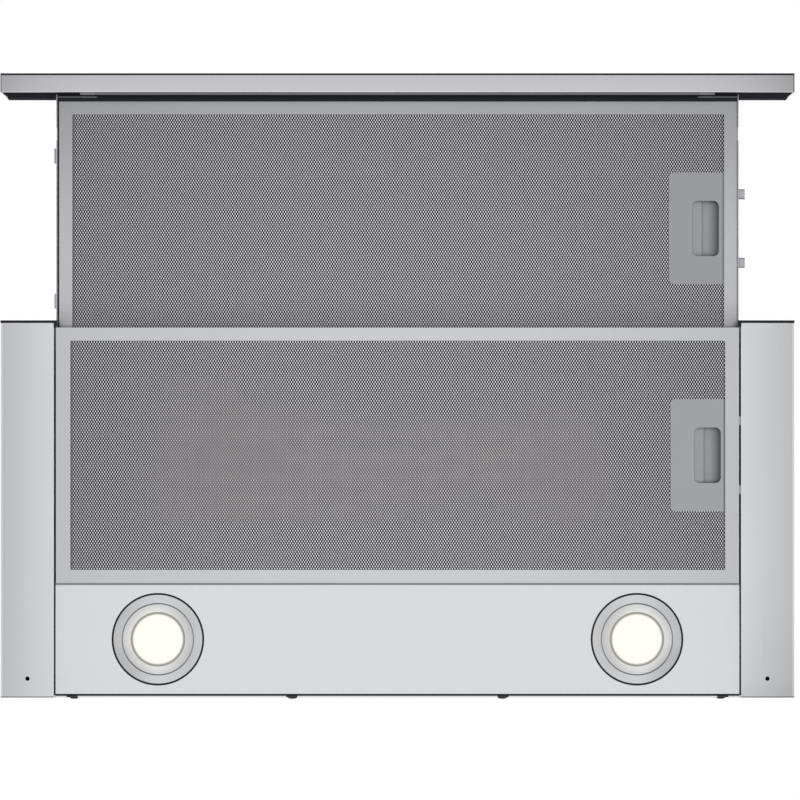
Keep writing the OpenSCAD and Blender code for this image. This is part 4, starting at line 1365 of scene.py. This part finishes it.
@dataclass
class Lamps:
    """The lamp panel with its two round spot lamps, whose sizes are in millimetres.

    Attributes:
        bezel_in: Inner radius of the outer ring.
        bezel_out: Outer radius of its face.
        flange: How far its flange reaches past that, behind the panel.
        ring_in: Inner radius of the inner ring.
        ring_out: Outer radius of its face.
        lens_r: Radius of the lens's face.
    """

    bezel_in: float = 27.0
    bezel_out: float = 34.5
    flange: float = 2.5
    ring_in: float = 20.1
    ring_out: float = 26.7
    lens_r: float = 19.2

    def build(self) -> None:
        """Builds the panel and the lamps."""
        low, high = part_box("lamp_bezels")
        lamp_x = high.x - (self.bezel_out + self.flange) * MM
        lamp_y = (low.y + high.y) / 2
        centres = [(-lamp_x, lamp_y, low.z), (lamp_x, lamp_y, low.z)]
        soften("lamp_panel", PALE_STEEL, 0.35, Edges.LONG, 3)
        self._outer_rings(centres)
        self._inner_rings(centres)
        r = self.lens_r
        lens = [(0, 0.2), (r - 2.5, 0.22), (r, 0.5), (r + 0.35, 1.1), (r + 0.4, 1.8), (r + 2.6, 1.8),
                (r + 2.6, 2.8), (0, 2.8)]
        lit = LitLens("lit lens", lamp_x, lamp_y, (r + 0.4) * MM)
        dome = turned(lens, centres, closed=False)
        add_piece("lamp_lens_domes", dome, lit, "lamp_lenses", ["lamp_lenses"])

    def _outer_rings(self, centres: list[Point]) -> None:
        """Builds the outer rings, with black gaskets round them, also as painted shade, and grooves inside
        them.
        """
        lamp_x, lamp_y, _ = centres[1]
        i, o, f = self.bezel_in, self.bezel_out, self.bezel_out + self.flange
        bezel = [(i + 0.1, 0.6), (i + 0.15, 0.2), (i + 0.3, 0.02), (o - 1.4, 0.0), (o - 1.1, 0.12),
                 (o - 1.0, 0.4), (o - 1.0, 0.8), (f, 0.8), (f, 1.8), (i + 0.1, 1.8)]
        finish = TurnedRings("turned bezel", seen(217, 218, 221), lamp_x, lamp_y)
        add_piece("lamp_bezel_rings", turned(bezel, centres), finish, "lamp_bezels", ["lamp_bezels"])
        # The black gasket also stands for painted shade in the gap round the outer ring.
        gasket = [(o - 0.95, 0.3), (o + 0.35, 0.3), (o + 0.35, 0.75), (o - 0.95, 0.75)]
        add_piece("lamp_gaskets", turned(gasket, centres), MATT_BLACK, "lamp_bezels")
        # The groove's dark grey is painted shade in the gap inside the outer ring, darker still at front and
        # rear.
        groove = [(i - 0.5, 0.25), (i + 0.1, 0.25), (i + 0.1, 0.5), (i - 0.5, 0.5)]
        finish = TurnedRings("turned groove", seen(138, 139, 141), lamp_x, lamp_y, fans=-0.28)
        add_piece("lamp_grooves", turned(groove, centres), finish, "lamp_bezels")

    def _inner_rings(self, centres: list[Point]) -> None:
        """Builds the inner rings, on which the lamps' light is a painted glow."""
        lamp_x, lamp_y, _ = centres[1]
        i, o = self.ring_in, self.ring_out
        cone = [(i + 0.3, 1.75), (i + 0.3, 0.7), (i + 0.5, 0.4), (o - 0.6, 0.1), (o - 0.3, 0.2),
                (o - 0.2, 0.5), (o - 0.2, 1.8), (o + 3.5, 1.8), (o + 3.5, 2.8), (o, 2.8), (o, 9.8),
                (o - 2.2, 9.8), (o - 2.2, 1.8)]
        glow = TurnedRings(
            "turned ring", seen(217, 218, 218), lamp_x, lamp_y, i * MM, 8 * MM, seen(112, 111, 104))
        add_piece("lamp_cones", turned(cone, centres), glow, "lamp_rings", ["lamp_rings"])


@dataclass
class Drawer:
    """The sliding carriage with its bar and its slides.

    Attributes:
        ridge_y: Distance of the brackets' bare ridge from their front.
        half_ridge: Half the ridge's width.
        foot: Height of the fascia's foot.
        drawn_in: How far that foot is drawn in.
        seal_in: Distance of the bar's end seals from the carriage.
        seal_height: Height of the seals.
        seal_depth: Depth of the seals at their foot.
        seal_lean: How much deeper they are at their top.
        side_shade_strip: How far the strip of painted shade beside the front filter reaches to either side
            of its edge.
        glide: Thickness of the slides' glides.
        sheet: Thickness of the slides' steel.
    """

    ridge_y: float = 2.1 * MM
    half_ridge: float = 0.55 * MM
    foot: float = 4 * MM
    drawn_in: float = 0.5 * MM
    seal_in: float = 1 * MM
    seal_height: float = 9 * MM
    seal_depth: float = 0.6 * MM
    seal_lean: float = 0.6 * MM
    side_shade_strip: Span = (-0.25 * MM, 0.9 * MM)
    glide: float = 1.0 * MM
    sheet: float = 1.0 * MM

    def build(self) -> None:
        """Builds and dresses the drawer."""
        soften("carriage_sides", FINE_ZINC, 0.15, Edges.LONG)
        for node, finish in (
            ("carriage_roof", FINE_ZINC), ("carriage_rear", FINE_ZINC), ("carriage_front", BLACK_ENAMEL),
            ("bar_liner", MATT_BLACK), ("bar_lip", SHADED_LIP_STEEL),
        ):
            soften(node, finish, 0.2, Edges.LONG)
        ridge = -(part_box("corner_brackets")[0].y + self.ridge_y)
        soften("corner_brackets", BracketZinc("bracket zinc", ridge, self.half_ridge), 0.2)
        soften("front_bar", BAR_STEEL, 0.4, Edges.LONG, 3)
        self._fascia()
        self._end_seals()
        self._side_shade_strip()
        for index in range(1, 6):
            soften(f"button_{index}", SILVER_PLASTIC, 0.4, Edges.LONG)
        for node, finish in (
            ("control_board", GREEN_BOARD), ("rail_inners", STEEL_DEEP), ("rail_outers", STEEL_DEEP),
        ):
            dress(node, finish)
        for side in ("left", "right"):
            self._middle_member(side)

    def _fascia(self) -> None:
        """Rounds the fascia plate and draws the foot of its front in."""
        mesh = rounded_copy("fascia_plate", 0.25 * MM, Edges.LONG)
        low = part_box("fascia_plate")[0]
        cut(mesh, (0, 0, low.z + self.foot), (0, 0, 1))
        for vertex in mesh.verts:
            if vertex.co.z < low.z + self.foot * 0.75:
                vertex.co.y = max(vertex.co.y, low.y + self.drawn_in)
        add_piece("fascia_plate_shell", mesh, BLACK_ENAMEL, "fascia_plate", ["fascia_plate"])

    def _end_seals(self) -> None:
        """Adds the seals behind the bar's ends, which meet the wings when the drawer is closed."""
        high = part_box("bar_liner")[1]
        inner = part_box("carriage_sides")[1].x + self.seal_in
        mesh = bmesh.new()
        for side in (-1, 1):
            left, right = sorted((side * inner, side * high.x))
            foot = left, high.y + TOUCH, high.z - self.seal_height
            slab(mesh, foot, (right, high.y + self.seal_depth, high.z))
        for vertex in mesh.verts:
            if vertex.co.y > high.y + self.seal_depth / 2 and vertex.co.z > high.z - self.seal_height / 2:
                vertex.co.y += self.seal_lean
        add_piece("bar_end_seals", mesh, SEAL_GREY, "bar_liner", round_shading=False)

    def _side_shade_strip(self) -> None:
        """Adds the dark strip of painted shade between the carriage's left side and the front filter."""
        low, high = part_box("front_filter_frame")
        left, right = (-high.x + reach for reach in self.side_shade_strip)
        mesh = bmesh.new()
        # A matt black strip of painted shade, where the carriage's left side shades the filter.
        slab(mesh, (left, low.y, low.z - FILM), (right, high.y, low.z - TOUCH))
        add_piece("carriage_side_shade_strip", mesh, MATT_BLACK, "carriage_sides", round_shading=False)

    def _middle_member(self, side: str) -> None:
        """Dresses a slide's middle member with its glides."""
        node = f"rail_middle_{side}"
        low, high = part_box(node)
        web = max(abs(low.x), abs(high.x)) - self.sheet - 0.1 * MM
        middle, half = (low.z + high.z) / 2, (high.z - low.z) / 2
        dress(node, SlideWithGlides(f"slide with glides {side}", middle, half - self.glide, self.sheet, web))


@dataclass
class Filter:
    """One grease filter: frame, mesh pack and latch.

    Attributes:
        side: Which of the two it is, front or rear.
        short_way: Width of a mesh diamond across the hood.
        long_way: Length of a mesh diamond from front to rear.
        strand: Width of a strand of the mesh.
        strand_height: Height of a strand.
        under: How far the mesh reaches under the latch plate.
        core_z: Distance of the inner pack from the mesh's face.
        opening_x: Distance of the frame's opening from the hood's middle.
        edge_room: How near to it a vertex counts as part of the opening's edge.
        wider: How much further out that edge lies on the right.
    """

    side: str
    short_way: float = 1.97 * MM
    long_way: float = 3.16 * MM
    strand: float = 0.50 * MM
    strand_height: float = 0.34 * MM
    under: float = 3 * MM
    core_z: float = 0.9 * MM
    opening_x: float = 246.4 * MM
    edge_room: float = 0.5 * MM
    wider: float = 0.5 * MM

    def build(self) -> None:
        """Builds and dresses the filter."""
        frame_finish = SHADED_ALUMINIUM if self.side == "front" else SATIN_ALUMINIUM
        self._widened("filter_frame", frame_finish, 0.25, Edges.LONG)
        plate_finish = FRONT_LATCH if self.side == "front" else REAR_LATCH
        self._widened("latch_plate", plate_finish, 0.3, Edges.UNDERSIDE)
        low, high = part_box(f"{self.side}_latch_slider")
        cup = LatchGrey(f"{self.side} latch cup", (low.y + high.y) / 2)
        soften(f"{self.side}_latch_slider", cup, 0.25, Edges.LONG)
        dress(f"{self.side}_latch_springs", STEEL)
        self._mesh_pack()

    def _widened(self, part: str, finish: Finish, width: float, edges: Edges) -> None:
        """Rounds a part and moves its edge at the right of the opening further out.

        Args:
            part: The part's name without the filter's side.
            finish: The finish of the copy.
            width: Width of the rounding in millimetres.
            edges: Which edges are rounded.
        """
        node = f"{self.side}_{part}"
        shell = rounded_copy(node, width * MM, edges)
        for vertex in shell.verts:
            if abs(vertex.co.x - self.opening_x) < self.edge_room:
                vertex.co.x += self.wider
        add_piece(f"{node}_shell", shell, finish, node, [node])

    def _mesh_pack(self) -> None:
        """Builds the sheet of expanded metal over the dense inner pack."""
        node = f"{self.side}_filter_mesh"
        low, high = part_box(node)
        plate_low, plate_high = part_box(f"{self.side}_latch_plate")
        cut_low = Vector((plate_low.x + self.under, plate_low.y + self.under, 0))
        cut_high = Vector((1.0, plate_high.y - self.under, 0))
        mesh = bmesh.new()
        for lean in (-1, 1):
            self._strands(mesh, low, high, low.z + (0.5 + 0.1 * lean) * MM, lean)
        self._trim(mesh, low, high, cut_low, cut_high)
        centre = (0.0, (low.y + high.y) / 2, low.z)
        shade = (0.10, 0.17) if self.side == "front" else (0.0, 0.0)
        finish = ExpandedMetal(f"{self.side} expanded metal", centre, self.short_way, self.long_way, *shade)
        add_piece(f"{self.side}_mesh_face", mesh, finish, node, [node], round_shading=False)
        core = bmesh.new()
        core_low = low.z + self.core_z
        slab(core, (low.x, low.y, core_low), (cut_low.x, high.y, high.z))
        slab(core, (cut_low.x, low.y, core_low), (high.x, cut_low.y, high.z))
        slab(core, (cut_low.x, cut_high.y, core_low), (high.x, high.y, high.z))
        bmesh.ops.remove_doubles(core, verts=core.verts, dist=0.001 * MM)
        middle = Vector(((low.x + high.x) / 2, (low.y + high.y) / 2, high.z - 0.1 * MM))
        finish = InnerPack(f"{self.side} inner pack", tuple(middle), 4 * self.short_way, 4 * self.long_way)
        add_piece(f"{self.side}_mesh_core", core, finish, node, round_shading=False)

    def _strands(self, mesh: bmesh.types.BMesh, low: Vector, high: Vector, z: float, lean: int) -> None:
        """Adds the strands that run one way.

        Args:
            mesh: The mesh that takes them.
            low: Lowest corner of the pack.
            high: Highest corner of the pack.
            z: Height of the strands' middle.
            lean: 1 for strands that lean to the right as they run to the rear, -1 for the others.
        """
        angle = math.atan2(self.long_way, self.short_way)
        depth = high.y - low.y
        length = depth / math.sin(angle) + 4 * MM
        reach = depth / 2 / math.tan(angle)
        middle_x, middle_y = (low.x + high.x) / 2, (low.y + high.y) / 2
        half_count = math.ceil(((high.x - low.x) / 2 + reach) / self.short_way)
        shape = Matrix.Diagonal((length, self.strand, self.strand_height, 1.0))
        turn = Matrix.Rotation(angle * lean, 4, "Z")
        for step in range(-half_count, half_count + 1):
            at = Matrix.Translation((middle_x + step * self.short_way, middle_y, z))
            bmesh.ops.create_cube(mesh, size=1.0, matrix=at @ turn @ shape)

    def _trim(
        self, mesh: bmesh.types.BMesh, low: Vector, high: Vector, cut_low: Vector, cut_high: Vector
    ) -> None:
        """Cuts the strands at the pack's rim and at the latch, and closes their ends.

        Args:
            mesh: The mesh of strands.
            low: Lowest corner of the pack.
            high: Highest corner of the pack.
            cut_low: Lowest corner of the room for the latch.
            cut_high: Highest corner of the room for the latch.
        """
        for point, away in ((low, (-1, 0, 0)), (low, (0, -1, 0)), (high, (1, 0, 0)), (high, (0, 1, 0))):
            cut(mesh, point, away, clear=True)
        for point, away in ((cut_low, (-1, 0, 0)), (cut_low, (0, -1, 0)), (cut_high, (0, 1, 0))):
            cut(mesh, point, away)
        inside = [
            f for f in mesh.faces
            if f.calc_center_median().x > cut_low.x and cut_low.y < f.calc_center_median().y < cut_high.y
        ]
        bmesh.ops.delete(mesh, geom=inside, context="FACES")
        open_ends = [e for e in mesh.edges if e.is_boundary]
        bmesh.ops.holes_fill(mesh, edges=open_ends, sides=0)
        bmesh.ops.recalc_face_normals(mesh, faces=mesh.faces)


@dataclass
class Studio:
    """The camera, the floor and the light.

    Attributes:
        camera_at: Place of the camera, below the hood and looking up.
        lens: Focal length in millimetres.
        shift: Shift of the picture across and up, as shares of its width.
        floor_z: Height of the floor.
        floor_half: Half the floor's width.
        card_inner: Where the grey card that reflections show on either side starts.
        card_outer: Where it ends.
        card_dim: How much darker than white it is.
    """

    camera_at: Point = (0.0, -0.194, -2.151)
    lens: float = 126.1
    shift: tuple[float, float] = (0.0032, 0.0501)
    floor_z: float = -3.6
    floor_half: float = 60.0
    card_inner: Span = (0.70, 0.90)
    card_outer: Span = (1.4, 2.4)
    card_dim: float = 0.60

    def build(self) -> None:
        """Builds the studio."""
        self._camera()
        self._floor()
        self._world()
        up = (math.pi, 0, 0)
        self._light("soft light from below", (0.0, 0.0, -2.4), up, (2.2, 2.2), 1.28)
        left = (math.radians(62), 0, math.radians(-42))
        self._light("light from the left", (-2.2, -2.4, 1.6), left, (1.6, 1.6), 1.0)
        rear = (math.radians(60), 0, math.radians(124))
        self._light("light from the rear", (2.4, 1.6, 1.8), rear, (1.8, 1.8), 0.9)

    def _camera(self) -> None:
        """Places the camera as the photograph's."""
        data = bpy.data.cameras.new("camera")
        data.lens = self.lens
        data.shift_x, data.shift_y = self.shift
        data.clip_end = 200.0
        camera = bpy.data.objects.new("camera", data)
        camera.location = self.camera_at
        camera.rotation_euler = (math.pi, 0, 0)
        bpy.context.scene.collection.objects.link(camera)
        bpy.context.scene.camera = camera

    def _floor(self) -> None:
        """Lays the pale floor far below, white where it is reflected but for a grey card at both sides."""
        mesh = bmesh.new()
        at = Matrix.Translation((0, 0, self.floor_z))
        bmesh.ops.create_grid(mesh, x_segments=8, y_segments=8, size=self.floor_half, matrix=at)
        graph = Graph.of_material("pale floor")
        camera, glossy, through = graph.rays()
        x, y, _ = graph.axes()
        far = (x * x + y * y).root().rise(1.5, 9.0)
        away = abs(x)
        card = glossy * away.rise(*self.card_inner) * (1 - away.rise(*self.card_outer))
        cloud = graph.noise(graph.place(), 3.0, 3.0)
        paint = graph.node("ShaderNodeBsdfPrincipled", None, {
            "Base Color": graph.shade(seen(211, 211, 212), 1 + (cloud - 0.5) * 0.02),
            "Roughness": 0.9,
            "Specular IOR Level": 0.1,
        })
        glow = graph.node("ShaderNodeEmission", None, {
            "Color": graph.shade((1.0, 1.0, 1.0), 1 - card * self.card_dim),
        })
        share = camera * (0.55 + far * 0.45) + glossy + through
        mix = graph.node("ShaderNodeMixShader", None, {0: share, 1: paint.outputs[0], 2: glow.outputs[0]})
        graph.node("ShaderNodeOutputMaterial", None, {"Surface": mix.outputs[0]})
        floor = new_object("floor", mesh)
        floor.data.materials.append(graph.owner)

    def _world(self) -> None:
        """Makes the world white to the camera and in reflections, and a little dimmer as light."""
        graph = Graph(bpy.data.worlds.new("studio"))
        camera, glossy, through = graph.rays()
        strength = 0.85 + (camera + glossy + through) * 0.15
        back = graph.node("ShaderNodeBackground", None, {"Color": (1, 1, 1, 1), "Strength": strength})
        graph.node("ShaderNodeOutputWorld", None, {"Surface": back.outputs[0]})
        bpy.context.scene.world = graph.owner
        bpy.context.scene.view_settings.view_transform = "Standard"

    @staticmethod
    def _light(name: str, at: Point, turn: Point, size: tuple[float, float], level: float) -> None:
        """Adds a soft rectangular light, which reflections don't show.

        Args:
            name: Its name.
            at: Its place.
            turn: Its rotation, where none points down.
            size: Its width and height.
            level: Its brightness, where 1 is white.
        """
        data = bpy.data.lights.new(name, "AREA")
        data.shape = "RECTANGLE"
        data.size, data.size_y = size
        data.energy = level * 4 * size[0] * size[1]
        light = bpy.data.objects.new(name, data)
        light.location = at
        light.rotation_euler = turn
        light.visible_camera = False
        light.visible_glossy = False
        bpy.context.scene.collection.objects.link(light)


def main() -> None:
    """Builds the hood's sub-assemblies and the studio, in order."""
    logging.basicConfig(level=logging.INFO, format="%(name)s: %(message)s")
    assemblies: list[Callable[[], None]] = [
        Casing().build, Outlet().build, Fan().build, Base().build, Lamps().build, Drawer().build,
        Filter("rear").build, Filter("front", wider=1.2 * MM).build, Studio().build,
    ]
    for build in assemblies:
        build()


if __name__ == "__main__":
    main()
